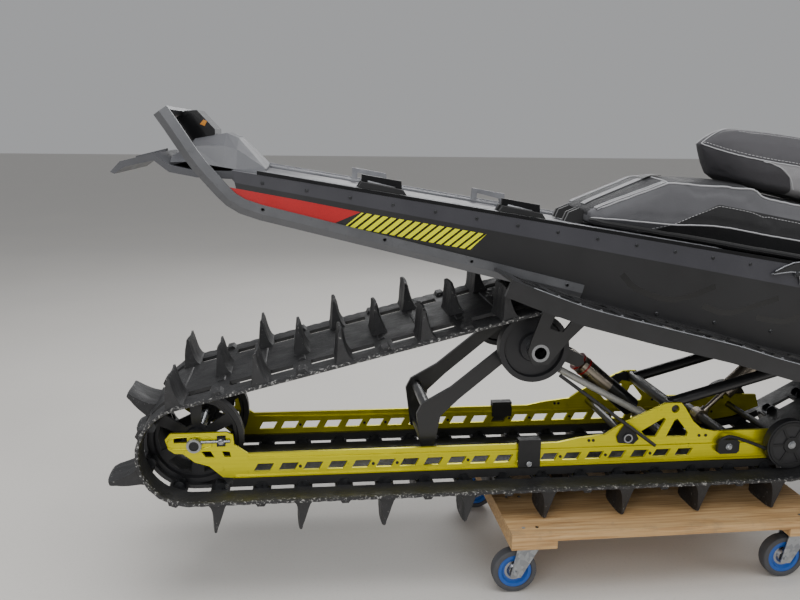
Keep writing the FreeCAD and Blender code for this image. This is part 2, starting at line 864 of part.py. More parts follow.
carrier_wheels = [
    dished_wheel(
        f"carrier_wheel_{side}",
        d.carrier_radius - d.seat_gap,
        d.carrier_shaft,
        d.carrier_width,
        sign * d.carrier_track / 2,
        d.carrier_x,
        d.carrier_z,
    )
    for side, sign in SIDES
]
finish(group("carrier_wheel_pair", carrier_wheels), "carrier_wheels")

d.bracket_inner = d.inside - 6
finish(
    less(
        "carrier_tube",
        axle("carrier_tube_body", d.carrier_shaft, d.carrier_x, d.carrier_z, (-d.inside, d.inside)),
        axle("carrier_tube_bore", d.carrier_bore, d.carrier_x, d.carrier_z, (-d.inside - 1, d.inside + 1)),
    ),
    "carrier_shaft",
)


def bracket(name, low, high):
    """A vee plate from under the tunnel down to the carrier shaft, with its window."""
    body = plate(
        name,
        [
            (736, 700),
            (719, 642),
            (694, 571),
            (d.carrier_x - 27, d.carrier_z + 2),
            (d.carrier_x - 16, d.carrier_z - 25),
            (d.carrier_x + 18, d.carrier_z - 24),
            (778, 574),
            (845, 640),
            (850, 690),
        ],
        (low, high),
    )
    hole = round_hole(d.carrier_x, d.carrier_z, d.carrier_shaft * 1.03)
    window = [(732, 598), (748, 591), (761, 589), (782, 617), (746, 632)]
    cut_through(body, name + "_cuts", [hole, window], (low, high))
    return body


brackets = [
    bracket("bracket_left", d.bracket_inner, d.inside),
    bracket("bracket_right", -d.inside, -d.bracket_inner),
]
finish(group("bracket_pair", brackets), "carrier_brackets")


# Arms between the rails and the tunnel.


def tube_pair(name, radius, points):
    """A bent tube on the left, and the same on the right."""
    tubes = []
    for side, sign in SIDES:
        tubes += tube_run(f"{name}_{side}", radius, [on_side(sign, point) for point in points])
    return tubes


REAR_ARM = [
    (d.carrier_x - 8, d.carrier_z + 22),
    (d.carrier_x + 16, d.carrier_z + 14),
    (d.carrier_x + 16, d.carrier_z - 14),
    (d.carrier_x - 14, d.carrier_z - 22),
    (568, 412),
    (526, 372),
    (510, 281),
    (485, 281),
    (472, 378),
    (484, 402),
    (548, 438),
]
SHOCK_LEVER = [
    (d.carrier_x - 12, d.carrier_z + 18),
    (d.carrier_x + 12, d.carrier_z + 18),
    (874, 484),
    (877, 466),
    (862, 458),
    (d.carrier_x - 8, d.carrier_z - 20),
]


def paired_plates(name, points, low, high):
    """The same side outline as a plate on the left and on the right."""
    return [plate(f"{name}_left", points, (low, high)), plate(f"{name}_right", points, (-high, -low))]


rear_arm = joined(
    "rear_arm_set",
    paired_plates("rear_arm_plate", REAR_ARM, 90.0, 100.0)
    + paired_plates("shock_lever", SHOCK_LEVER, 22.0, 32.0)
    + [
        axle("rear_arm_cross", 12.0, 498, 386, (-90, 90)),
        axle("rear_arm_foot", 9.0, 497, 292, (-d.rail_inner, d.rail_inner)),
        axle("rear_arm_sleeve", 25.0, d.carrier_x, d.carrier_z, (-118, 118)),
        axle("shock_pin_high", 9.0, 862, 472, (-32, 32)),
    ],
)
finish(
    less(
        "rear_arm_bored",
        rear_arm,
        axle("rear_arm_bore", d.carrier_shaft + d.pin_gap, d.carrier_x, d.carrier_z, (-130, 130)),
    ),
    "rear_arm",
)


def shock(name, high, low, radius):
    """A damper: body below the upper eye, thin rod down to the lower eye."""
    start, end = vector(high), vector(low)
    along = (end - start).normalize()
    length = (end - start).Length
    body_top = start + along * 22
    body_end = start + along * (length * 0.62)
    rod_end = end - along * 14
    pieces = [
        rod(name + "_body", radius, tuple(body_top), tuple(body_end)),
        rod(name + "_rod", radius * 0.3, tuple(body_end - along * 2), tuple(rod_end)),
    ]
    for word, centre in (("high", start), ("low", end)):
        pieces.append(axle(f"{name}_eye_{word}", 17.0, centre.x, centre.z, (centre.y - 15, centre.y + 15)))
        pieces.append(
            rod(
                f"{name}_neck_{word}",
                radius * 0.5,
                tuple(centre + along * (8 if word == "high" else -8)),
                tuple(centre + along * (26 if word == "high" else -24)),
            )
        )
    return joined(name, pieces)


rear_shock = shock("rear_shock_set", (862, 0, 472), (1038, 0, 323), 23.0)
rear_shock_bore = axle("rear_shock_bore", 9.0 + d.pin_gap, 862, 472, (-20, 20))
rear_shock_low = axle("rear_shock_low", 11.0 + d.pin_gap, 1038, 323, (-20, 20))
finish(
    less("rear_shock_bored", rear_shock, joined("rear_shock_bores", [rear_shock_bore, rear_shock_low])),
    "rear_shock",
)
centre_shock = shock("centre_shock_set", (1345, 0, 470), (1190, 0, 318), 21.0)
finish(
    less(
        "centre_shock_bored",
        centre_shock,
        joined(
            "centre_shock_bores",
            [
                axle("centre_shock_bore_high", 9.0 + d.pin_gap, 1345, 470, (-20, 20)),
                axle("centre_shock_bore_low", 11.0 + d.pin_gap, 1190, 318, (-20, 20)),
            ],
        ),
    ),
    "centre_shock",
)
finish(
    joined(
        "front_arm_set",
        tube_pair("front_arm_tube", 13.0, [(1062, 100, 388), (1478, 100, 503)])
        + [
            axle("front_arm_foot", 13.0, 1062, 384, (-d.rail_inner, d.rail_inner)),
            axle("front_arm_head", 14.0, 1478, 503, (-d.inside, d.inside)),
            axle("front_arm_pin", 9.0, 1345, 470, (-110, 110)),
        ],
    ),
    "front_arm",
)
finish(
    group(
        "cross_shaft_set",
        [
            axle("cross_shaft_slim", 9.0, 951, 320, (-d.rail_inner, d.rail_inner)),
            axle("cross_shaft_rear", 11.0, 1038, 323, (-d.rail_inner, d.rail_inner)),
            axle("cross_shaft_front", 11.0, 1190, 318, (-d.rail_inner, d.rail_inner)),
        ],
    ),
    "rail_cross_shafts",
)


# Drive shaft with its two sprockets.
def tooth_angle():
    """Outward angle of a belt hole that lies on the drive sprocket."""
    for row in range(track_rows):
        x, z, angle = belt_place(hole_place(row))
        if abs(math.dist((x, z), (d.drive_x, d.drive_z)) - float(d.sprocket_radius + half_belt)) < 1e-3:
            return angle
    raise ValueError("no belt hole lies on the sprocket")


def make_sprockets():
    """Two wheels whose teeth stand through the belt's holes."""
    centre = FreeCAD.Vector(float(d.drive_x), 0, float(d.drive_z))
    body_radius = float(d.sprocket_radius - d.clip_height - d.seat_gap)
    hole_face = float(d.sprocket_radius)
    tip = hole_face + float(d.belt_thickness + d.tooth_reach)
    tooth = [
        (d.sprocket_radius - 30, -d.tooth_base / 2),
        (hole_face, -d.tooth_base / 2),
        (tip, -d.tooth_tip / 2),
        (tip, d.tooth_tip / 2),
        (hole_face, d.tooth_base / 2),
        (d.sprocket_radius - 30, d.tooth_base / 2),
    ]
    first = tooth_angle()
    count = round(d.sprocket_teeth)
    pieces = []
    for side, sign in SIDES:
        low, high = around(sign * d.rail_y, d.sprocket_width)
        start = centre + FreeCAD.Vector(0, float(low), 0)
        disc = Part.makeCylinder(body_radius, float(high - low), start, FreeCAD.Vector(0, 1, 0))
        teeth = []
        for index in range(count):
            angle = first + index * 2 * math.pi / count
            ahead, up = math.cos(angle), math.sin(angle)
            points = [
                (centre.x + ahead * out - up * along, centre.z + up * out + ahead * along)
                for out, along in tooth
            ]
            teeth.append(across(outline(points), low, high))
        pieces.append(disc.multiFuse(teeth))
    return Part.makeCompound(pieces)


finish(
    joined(
        "drive_set",
        [
            solid("sprocket_shapes", make_sprockets()),
            axle("drive_bar", d.drive_shaft_radius, d.drive_x, d.drive_z, (-d.inside, d.inside)),
        ],
    ),
    "drive_shaft",
)


# Tunnel: two side plates, a top and a front wall, open below and behind.
def tunnel_top(x):
    """Height of the tunnel's top above the floor."""
    return d.tail_z - (x - d.tail_x) * (d.tail_z - d.roof_z) / (d.roof_x - d.tail_x)


TUNNEL = [
    (d.tail_x, d.tail_z),
    (d.roof_x, d.roof_z),
    (d.front_wall_x - 40, 620),
    (d.front_wall_x, 560),
    (d.front_wall_x, 380),
    (1500, 380),
    (1470, 485),
    (1195, 540),
    (981, 598),
    (778, 656),
    (585, 733),
    (d.tail_x + 14, 851),
]
TUNNEL_ROOM = [
    (d.tail_x - 33, tunnel_top(d.tail_x - 33) - d.tunnel_wall),
    (d.roof_x, d.roof_z - d.tunnel_wall),
    (d.front_wall_x - 42, 617.5),
    (d.front_wall_x - d.tunnel_wall, 559),
    (d.front_wall_x - d.tunnel_wall, 300),
    (d.tail_x - 33, 300),
]


def make_tunnel():
    outer = across(outline(TUNNEL), -d.side, d.side)
    room = across(outline(TUNNEL_ROOM), -d.inside, d.inside)
    return outer.cut(room)


finish(solid("tunnel_shape", make_tunnel()), "tunnel")


# Bumper strip along the tunnel's lower edge, up and round behind the tail.
STRIP = [
    (797, 690),
    (150, 853),
    (118, 864),
    (100, 875),
    (85, 890),
    (46, 935),
    (31, 956),
    (-4, 1011),
    (-21, 1036),
]


def square_to(points, i):
    """The direction out of a side line at one of its points, down and to the rear."""
    (x0, z0), (x1, z1) = points[max(i - 1, 0)], points[min(i + 1, len(points) - 1)]
    length = math.dist((x0, z0), (x1, z1))
    return (z1 - z0) * math.copysign(1, x1 - x0) / length, -abs(x1 - x0) / length


def strip_side(sign):
    """One side of the strip: a flat face, and below it a lip that slopes in."""
    near = float(d.side) + float(d.seat_gap)
    far = float(d.strip_outer)
    depth = float(d.strip_depth)
    profile = [(near, 0.0), (far, 0.0), (far, float(d.strip_face)), (far - 5, depth), (near, depth)]
    loops = []
    for i, (x, z) in enumerate(STRIP):
        out_x, out_z = square_to(STRIP, i)
        loops.append([vector((x + out_x * down, sign * y, z + out_z * down)) for y, down in profile])
    return loft(loops)


def make_bumper():
    """The strip on both sides, joined by a flat bar across its upper end."""
    (x0, z0), (x1, z1) = STRIP[-2:]
    length = math.dist((x0, z0), (x1, z1))
    back_x, back_z = [(start - end) / length * float(d.strip_thick) for start, end in ((x0, x1), (z0, z1))]
    out_x, out_z = [part * float(d.strip_depth) for part in square_to(STRIP, len(STRIP) - 1)]
    corners = [
        (x1, z1),
        (x1 + out_x, z1 + out_z),
        (x1 + out_x + back_x, z1 + out_z + back_z),
        (x1 + back_x, z1 + back_z),
    ]
    bar = across(outline(corners), -d.strip_outer + 5, d.strip_outer - 5)
    return strip_side(1).multiFuse([strip_side(-1), bar])


finish(solid("bumper_shape", make_bumper()), "bumper_rail")


# Tail housing, lamp and snow flap.


def tail_section(x, low, high, wide):
    waist = (low + high) / 2 + 8
    return section(x, [(0, low), (wide, low), (wide * 0.8, waist), (wide * 0.45, high), (0, high)])


# behind the tunnel's rear end, height of the lower edge, height of the top, half width
TAIL = [
    (123, None, 20, 150),
    (83, 0.3, 57, 160),
    (20, 0.3, 69, 165),
    (-5, 0.3, 59, 165),
    (-59, 0.3, -4, 165),
]
tail_loops = []
for behind, over, high, wide in TAIL:
    x = d.tail_x - behind
    low = d.tail_z + 12 if over is None else tunnel_top(x) + over
    tail_loops.append(tail_section(x, low, d.tail_z + high, wide))
finish(solid("tail_shape", loft(tail_loops)), "tail_housing")

# Side outlines of the lamp and the flap: behind the tunnel's rear end, above its top.
LAMP = [(119, 98), (102, 112), (78, 114), (43, 76), (43, 65.3), (83, 57.4), (103, 42.5), (119, 67)]
FLAP = [
    (-47, -11),
    (0, -3.6),
    (73, -3),
    (122, 7),
    (151, 30),
    (214, 14),
    (233, -6),
    (225, -10),
    (205, 4),
    (151, 16),
    (123, -6),
    (71, -16),
    (-47, -21),
]


def behind_tail(points, half):
    face = outline([(d.tail_x - behind, d.tail_z + above) for behind, above in points])
    return across(face, -half, half)


finish(solid("lamp_shape", behind_tail(LAMP, 70)), "tail_lamp")
flap_ridge = [(behind, above + 5) for behind, above in FLAP[4:6]] + [(214, 16), (151, 28)]
finish(
    solid("flap_shape", behind_tail(FLAP, 170).fuse(behind_tail(flap_ridge, 12))),
    "snow_flap",
)


# Cargo anchors: staple loops on the tunnel's top.


def over_tunnel(x, above):
    return (x, tunnel_top(x) + above)


def anchor(name, x, y):
    """A staple loop of three bars that stands on the tunnel."""
    low, high = x - d.anchor_half, x + d.anchor_half
    gap = d.seat_gap
    inner = d.anchor_height - 12
    face = outline(
        [
            over_tunnel(low, gap),
            over_tunnel(low + 12, gap),
            (low + 14, tunnel_top(low) + inner),
            (high - 14, tunnel_top(high) + inner),
            over_tunnel(high - 12, gap),
            over_tunnel(high, gap),
            (high - 2, tunnel_top(high) + d.anchor_height),
            (low + 2, tunnel_top(low) + d.anchor_height),
        ]
    )
    return solid(name, across(face, *around(y, 12)))


anchors = [
    anchor(f"anchor_{name}_{side}", x, sign * d.anchor_y)
    for name, x in (("rear", 385), ("front", 675))
    for side, sign in SIDES
]
EDGE_BARS = [(d.side - 4, 7), (d.side - 34, 5)]
edge_bars = []
for y, height in EDGE_BARS:
    gap = d.seat_gap
    face = outline(
        [over_tunnel(140, gap), over_tunnel(1500, gap), over_tunnel(1500, gap + height), over_tunnel(140, gap + height)]
    )
    for side, sign in SIDES:
        edge_bars.append(solid(f"edge_bar_{round(height)}_{side}", across(face, *span(sign, y - 4, y + 4))))
finish(group("anchor_set", anchors + edge_bars), "cargo_mounts")


# Running boards: a shelf with a deep toothed outer edge, from the tunnel's side.
BOARD = [
    (608, 729),
    (660, 708),
    (762, 671),
    (905, 632),
    (1063, 592),
    (1195, 553),
    (1500, 478),
    (1610, 458),
    (1690, 463),
    (1745, 515),
    (1770, 590),
]


def board_top(x):
    for (x0, z0), (x1, z1) in zip(BOARD, BOARD[1:]):
        if x <= x1:
            return z0 + (z1 - z0) * (float(x) - x0) / (x1 - x0)
    raise ValueError("past the board")


def thick_line(points, down):
    """A line of (x, z) points made a strip by its own thickness, square to each side."""
    under = []
    for i, (x, z) in enumerate(points):
        x0, z0 = points[max(i - 1, 0)]
        x1, z1 = points[min(i + 1, len(points) - 1)]
        length = math.hypot(x1 - x0, z1 - z0)
        under.append((x + (z1 - z0) / length * down, z - (x1 - x0) / length * down))
    return outline(points + under[::-1])


def make_boards(body_form):
    """Shelves with rows of snow holes and a deep outer edge, turned up in front as toe holds."""
    shelf = thick_line(BOARD, float(d.board_thick))
    edge = thick_line(BOARD, float(d.edge_depth))
    room = float(d.strip_outer + d.seat_gap)
    strip_room = Part.makeBox(240, 2 * room, 300, FreeCAD.Vector(560, -room, 500))
    boards = []
    for side, sign in SIDES:
        inner = d.side + d.seat_gap
        board = across(shelf, *span(sign, inner, d.board_side))
        board = board.fuse(across(edge, *span(sign, d.board_side - d.edge_width, d.board_side)))
        holes = []
        x = 640.0
        while x + float(d.board_hole_length) < 1560:
            low = board_top(x + float(d.board_hole_length)) - 20
            for near, far in ((inner + 22, inner + 62), (inner + 74, inner + 116)):
                y = span(sign, near, far)[0]
                corner = FreeCAD.Vector(x, float(y), low)
                holes.append(Part.makeBox(float(d.board_hole_length), float(far - near), 60, corner))
            x += float(d.board_hole_pitch)
        boards.append(board.cut(Part.makeCompound(holes + [strip_room, body_form])))
    return Part.makeCompound(boards)


# Soft and moulded pieces on the tunnel.


def cushion_section(x, low, high, wide):
    height = high - low
    return section(
        x,
        [
            (0, low),
            (wide * 0.82, low),
            (wide, low + height * 0.45),
            (wide * 0.82, high - height * 0.12),
            (0, high),
        ],
    )


def seat_section(x, low, shoulder, crest, wide):
    """A cushion whose top falls from a crest in the middle to a shoulder at each side."""
    waist = (low + shoulder) / 2
    half = [
        (0, low),
        (wide * 0.86, low),
        (wide, waist),
        (wide * 0.94, shoulder),
        (wide * 0.4, crest - 6),
        (0, crest),
    ]
    return section(x, half)


SEAT = [
    # x, low, shoulder, crest, half width
    (1142, 903, 938, 960, 40),
    (1197, 889, 944, 994, 82),
    (1250, 876, 934, 996, 106),
    (1311, 864, 927, 988, 120),
    (1500, 823, 908, 973, 120),
    (1640, 796, 896, 962, 98),
]
finish(solid("seat_shape", loft([seat_section(*row) for row in SEAT])), "seat")
finish(
    solid(
        "bag_shape",
        loft(
            [
                cushion_section(855, tunnel_top(855) + 0.3, 831, 100),
                cushion_section(995, tunnel_top(995) + 0.3, 893, 135),
                cushion_section(1140, tunnel_top(1140) + 0.3, 888, 142),
                cushion_section(1311, tunnel_top(1311) + 0.3, 855, 148),
                cushion_section(1500, tunnel_top(1500) + 0.3, 818, 148),
                cushion_section(1640, tunnel_top(1640) + 0.3, 790, 145),
            ]
        ),
    ),
    "rear_bag",
)
finish(
    solid(
        "tank_shape",
        loft(
            [
                cushion_section(1640.6, tunnel_top(1640) + 0.6, 955, 120),
                cushion_section(1720, 650, 960, 150),
                cushion_section(1775, 628, 930, 150),
            ]
        ),
    ),
    "fuel_tank",
)


# Front frame: a beam from the tunnel's front wall, with plates for the upper arms.
BEAM = [(1810.3, 395), (1810.3, 378), (1856, 352.3), (2440, 352.3), (2440, 395)]
d.fork_inner = d.bulkhead_half + 25
d.fork_outer = d.fork_inner + 7
TOWER = [
    (2100, 384.5),
    (2108, 410),
    (2150, 530),
    (2200, 575),
    (2320, 575),
    (2380, 500),
    (2400, 384.5),
    (2330, 384.5),
    (2300, 470),
    (2240, 488),
    (2173, 488),
    (2158, 400),
    (2150, 384.5),
]
front_beam = plate("front_beam", BEAM, (-d.bulkhead_half, d.bulkhead_half))
towers = []
for side, sign in SIDES:
    towers.append(plate(f"tower_{side}", TOWER, span(sign, d.fork_inner, d.fork_outer)))
    shelf = span(sign, d.bulkhead_half - 1, d.fork_outer)
    towers.append(box(f"tower_foot_{side}", (2330, 2400), shelf, (384.5, 393)))
    towers.append(box(f"tower_heel_{side}", (2100, 2150), shelf, (384.5, 393)))
post_foot = (d.post_foot_x, 0, d.post_foot_z)
post_head = (d.post_head_x, 0, d.post_head_z)
post_axis = (vector(post_head) - vector(post_foot)).normalize()


def on_post(distance):
    """A point on the steering post, so far above its foot."""
    return tuple(vector(post_foot) + post_axis * distance)


bearing = on_post(38)
frame = joined(
    "bulkhead_set",
    [front_beam]
    + towers
    + [
        axle("bearing_bar", 10.0, bearing[0], bearing[2] - 4, (-d.fork_inner - 1, d.fork_inner + 1)),
        rod("bearing_sleeve", 24.0, on_post(26), on_post(52)),
    ],
)
bearing_bore = rod("bearing_bore", d.post_radius + d.pin_gap, on_post(0), on_post(90))
finish(less("bulkhead_bored", frame, bearing_bore), "bulkhead")
finish(
    plate(
        "engine_body",
        [
            (d.engine_rear, d.bulkhead_top + d.seat_gap),
            (d.engine_front, d.bulkhead_top + d.seat_gap),
            (d.engine_front, d.bulkhead_top + d.engine_height),
            (d.engine_rear, d.bulkhead_top + d.engine_height),
        ],
        (-d.engine_width / 2, d.engine_width / 2),
    ),
    "engine_block",
)


# Body panels: one outer form, cut into hood, side panels and belly pan.
FORM = [
    # x, then (y, z) from the lowest middle to the highest
    (1560, [(0, 480), (216, 480), (232, 560), (235, 640), (215, 740), (160, 800), (0, 830)]),
    (1850, [(0, 348), (190, 348), (275, 470), (300, 640), (250, 790), (130, 895), (0, 915)]),
    (2150, [(0, 348), (190, 348), (255, 450), (275, 600), (220, 720), (120, 795), (0, 815)]),
    (2440, [(0, 348), (140, 348), (190, 430), (205, 540), (165, 615), (90, 655), (0, 668)]),
    (2530, [(0, 400), (85, 400), (115, 450), (120, 510), (95, 560), (55, 580), (0, 586)]),
]


def make_form(wall):
    """The front body's outer form, or the same form moved inwards by a wall."""
    loops = [inset(section(x, half), wall) for x, half in FORM]
    if wall > 0:
        loops[-1] = [corner - FreeCAD.Vector(wall, 0, 0) for corner in loops[-1]]
    return loft(loops)


SPLIT = [(1820, 760), (2150, 640), (2440, 520), (2560, 480)]
PAN_TOP = [(1856, 405), (2440, 405), (2560, 430)]
gap = float(d.panel_gap)
past = 600
outer_form = make_form(0.0)
hull = outer_form.cut(make_form(float(d.panel_wall)))

upper = across(outline(SPLIT + [(2560, 1000), (1820, 1000)]), -past, past)
middle_edge = [(x, z - gap) for x, z in SPLIT] + [(x, z) for x, z in reversed(PAN_TOP)]
middle = across(
    outline(middle_edge + [(1850, 405), (1560, 530), (1560, 860), (1820 - gap, 860)]),
    -past,
    past,
)
lower = across(outline([(x, z - gap) for x, z in PAN_TOP] + [(2560, 300), (1856, 300)]), -past, past)
arm_outline = outline([(2085, 340), (2425, 340), (2425, 450), (2370, 545), (2130, 545), (2085, 450)])
arm_room = [across(arm_outline, *span(sign, 118, 400)) for side, sign in SIDES]
post_room = across(outline([(1800, 1000), (1800, 700), (2026, 700), (2026, 1000)]), -45, 45)
nose_path = [
    (2440.3, 100, 381.5),
    (2456, 100, 381.5),
    (d.nose_tube_x - 15, 92, d.nose_tube_z - 5),
    (d.nose_tube_x, 60, d.nose_tube_z),
    (d.nose_tube_x, 0, d.nose_tube_z),
]
tube_room = []
for side, sign in SIDES:
    first, second, third = (vector(on_side(sign, point)) for point in nose_path[:3])
    for start, end in ((first - FreeCAD.Vector(10, 0, 0), second), (second, third)):
        reach = end - start
        tube_room.append(Part.makeCylinder(float(d.nose_tube) + 4, reach.Length + 6, start, reach))
bay_half = float(d.side) + 1
bay_front = float(d.front_wall_x) + 3
bay_room = across(outline([(1500, 300), (bay_front, 300), (bay_front, 700), (1500, 830)]), -bay_half, bay_half)
seat_room = across(outline([(1500, 600), (1790, 600), (1790, 1000), (1500, 1000)]), -152.5, 152.5)

# Slanted vents in the side panels and the hood: rear lower corner, length, rise and number.
vents = []
for x, z, length, rise, pitch, count in ((1905, 560, 110, 30, 30, 4), (1990, 735, 70, 22, 26, 3)):
    for index in range(count):
        x0, z0 = x + index * 10, z + index * pitch
        slot = outline([(x0, z0), (x0 + length, z0 - rise), (x0 + length + 5, z0 - rise + 11), (x0 + 5, z0 + 11)])
        vents += [across(slot, *span(sign, 150, 400)) for side, sign in SIDES]
# Slots across the nose, between the headlamps.
for z in (536, 556, 576):
    slot = outline([(2490, z), (2560, z - 4), (2560, z + 6), (2490, z + 10)])
    vents.append(across(slot, -48, 48))


def lamp_opening(clear):
    """Where a lens sits in the hood, or the lens itself with its clearance."""
    face = outline([(2335 + clear, 560 + clear), (2490 - clear, 540 + clear), (2490 - clear, 800), (2335 + clear, 800)])
    return Part.makeCompound([across(face, *span(sign, 45 + clear, 150 - clear)) for side, sign in SIDES])


hood_rooms = Part.makeCompound([lamp_opening(0.0), post_room] + vents)
panel_rooms = Part.makeCompound(arm_room + tube_room + vents + [bay_room, seat_room, post_room])
finish(solid("hood_shape", hull.common(upper).cut(hood_rooms)), "hood")
finish(solid("lens_shape", hull.common(upper).common(lamp_opening(gap))), "headlamps")
finish(solid("panel_shape", hull.common(middle).cut(panel_rooms)), "side_panels")
finish(solid("pan_shape", hull.common(lower).cut(Part.makeCompound(arm_room + tube_room))), "belly_pan")
finish(solid("board_shape", make_boards(make_form(-gap))), "running_boards")


# Windshield, console and front bumper.


def shield_loop(x, z, half):
    """A closed strip bowed forward at its middle."""
    shares = [step / 4 for step in range(-4, 5)]
    front = [FreeCAD.Vector(x - 0.42 * half * s * s, half * s, z) for s in shares]
    back = [FreeCAD.Vector(x - 4 - 0.42 * half * s * s, (half - 3) * s, z) for s in reversed(shares)]
    return front + back


shield = loft([shield_loop(2085, 780, 205), shield_loop(1965, 960, 172), shield_loop(1862, 1095, 108)])
finish(solid("shield_shape", shield.cut(outer_form)), "windshield")
CONSOLE = [(1776, 700), (1776, 945), (1850, 975), (1955, 868), (1955, 845), (1870, 700)]
console = across(outline(CONSOLE), -110, 110)
finish(solid("console_shape", console.cut(outer_form)), "dash")
finish(joined("nose_bumper_set", tube_pair("nose_tube", d.nose_tube, nose_path)), "nose_bumper")


# Front suspension. The steering axis runs through the two ball joints.
steer = (vector((d.high_joint_x, 0, d.high_joint_z)) - vector((d.low_joint_x, 0, d.low_joint_z))).normalize()


def on_axis(centre, distance):
    return tuple(vector(centre) + steer * float(distance))


low_joint = (d.low_joint_x, d.joint_half, d.low_joint_z)
high_joint = (d.high_joint_x, d.joint_half, d.high_joint_z)


def front_arms(side, sign):
    """Two vee arms, each ending in an eye on the steering axis."""
    pieces = []
    bores = []
    for word, joint, pivots in (
        ("low", low_joint, [(2130, 131, 368), (2400, 131, 368)]),
        ("high", high_joint, [(2180, 159, 500), (2340, 159, 500)]),
    ):
        joint = on_side(sign, joint)
        for index, pivot in enumerate(pivots):
            pivot = on_side(sign, pivot)
            inward = (vector(pivot) - vector(joint)).normalize()
            start = tuple(vector(joint) + inward * 10)
            pieces.append(rod(f"arm_{word}_{index}_{side}", d.arm_radius, start, pivot))
            x, y, z = pivot
            inner = float(d.bulkhead_half) if word == "low" else float(d.fork_outer)
            low, high = sorted((sign * (inner + 0.3), y + sign * 14))
            pieces.append(axle(f"arm_{word}_boss_{index}_{side}", 15.0, x, z, (low, high)))
        half = float(d.eye_height) / 2
        pieces.append(rod(f"arm_{word}_eye_{side}", d.eye_radius, on_axis(joint, -half), on_axis(joint, half)))
        bores.append(
            rod(f"arm_{word}_bore_{side}", d.joint_pin + d.pin_gap, on_axis(joint, -30), on_axis(joint, 30))
        )
    pieces.append(rod(f"arm_shock_bar_{side}", 9.0, (2250, sign * 300, 262), (2326, sign * 300, 262)))
    arms = joined(f"front_arm_pieces_{side}", pieces)
    return less(f"front_arms_{side}", arms, joined(f"arm_bores_{side}", bores))


finish(group("front_arm_pair", [front_arms(side, sign) for side, sign in SIDES]), "front_arms")


def front_shock(side, sign):
    """A coil-over unit from the lower arm to the tower's top."""
    foot = vector((2262, sign * 300, 275))
    head = vector((2262, sign * 166, 545))
    along = (head - foot).normalize()
    pieces = [
        rod(f"front_shock_rod_{side}", 8.0, tuple(foot), tuple(head)),
        rod(f"front_shock_coil_{side}", 25.0, tuple(foot + along * 60), tuple(foot + along * 215)),
        rod(f"front_shock_cup_{side}", 18.0, tuple(foot + along * 210), tuple(head - along * 12)),
    ]
    low, high = sorted((sign * (float(d.fork_outer) + 0.3), sign * 178))
    pieces.append(axle(f"front_shock_pin_{side}", 12.0, 2262, 545, (low, high)))
    return joined(f"front_shock_{side}", pieces)


finish(group("front_shock_pair", [front_shock(side, sign) for side, sign in SIDES]), "front_shocks")


# Steered pieces: spindle, tie rod and ski with its runner and loop.


def make_spindle(side, sign):
    """A knuckle on the steering axis, its steering arm behind and the ski boss below."""
    low = on_side(sign, low_joint)
    high = on_side(sign, high_joint)
    gap = float(d.eye_height) / 2 + 10
    knee = on_axis(low, -gap - 14)
    boss = (d.ski_bolt_x, sign * d.ski_y, d.ski_bolt_z)
    arm_root = on_axis(low, 98)
    arm_end = (d.steer_arm_x, sign * d.steer_arm_y, d.steer_arm_z)
    boss_half = d.ski_boss_length / 2
    solid_parts = [
        rod(f"knuckle_pin_{side}", d.joint_pin, on_axis(low, -gap - 14), on_axis(high, gap + 6)),
        rod(f"knuckle_neck_{side}", 10.0, on_axis(low, gap), on_axis(high, -gap)),
        rod(f"knuckle_post_{side}", 15.0, on_axis(low, gap + 16), on_axis(high, -gap - 16)),
        rod(f"knuckle_knee_{side}", 18.0, on_axis(low, -gap - 30), on_axis(low, -gap)),
        rod(f"knuckle_nut_{side}", 10.0, on_axis(high, gap), on_axis(high, gap + 10)),
        rod(f"knuckle_leg_{side}", 14.0, knee, (boss[0], boss[1], boss[2] + 6)),
        axle(
            f"knuckle_boss_{side}",
            d.ski_boss,
            d.ski_bolt_x,
            d.ski_bolt_z,
            (sign * d.ski_y - boss_half, sign * d.ski_y + boss_half),
        ),
        rod(f"steer_arm_{side}", 9.0, arm_root, arm_end),
        rod(f"steer_arm_end_{side}", 12.0, on_axis(arm_end, -10), on_axis(arm_end, 10)),
        rod(f"steer_pin_{side}", 5.0, arm_end, on_axis(arm_end, 34)),
    ]
    bore = axle(
        f"knuckle_bore_{side}",
        d.ski_bolt + d.pin_gap,
        d.ski_bolt_x,
        d.ski_bolt_z,
        (sign * d.ski_y - 60, sign * d.ski_y + 60),
    )
    body = joined(f"spindle_{side}_solid", solid_parts)
    return finish(less(f"spindle_{side}_set", body, bore), f"spindle_{side}")


def make_tie_rod(side, sign):
    """A rod from the steering arm's pin to the open eye beside the steering post's foot."""
    centre = on_axis((d.steer_arm_x, sign * d.steer_arm_y, d.steer_arm_z), 22)
    inner = (d.steer_arm_x, sign * d.tie_inner_y, d.tie_inner_z)
    pieces = [
        rod(f"tie_eye_{side}", 13.0, on_axis(centre, -7), on_axis(centre, 7)),
        rod(f"tie_bar_{side}", d.tie_radius, centre, inner),
        rod(f"tie_end_{side}", 12.0, on_axis(inner, -7), on_axis(inner, 7)),
    ]
    bore = rod(f"tie_bore_{side}", 5.0 + d.pin_gap, on_axis(centre, -20), on_axis(centre, 20))
    return finish(less(f"tie_rod_{side}_set", joined(f"tie_rod_{side}_solid", pieces), bore), f"tie_rod_{side}")


SKI = [
    # ahead of the bolt, keel height, half width as a share, height of the edge above the keel
    (-440, 46, 0.55, 20),
    (-400, 10, 0.92, 24),
    (0, 10, 1.0, 26),
    (260, 10, 1.0, 26),
    (400, 48, 0.94, 26),
    (500, 118, 0.78, 24),
    (548, 172, 0.5, 20),
]


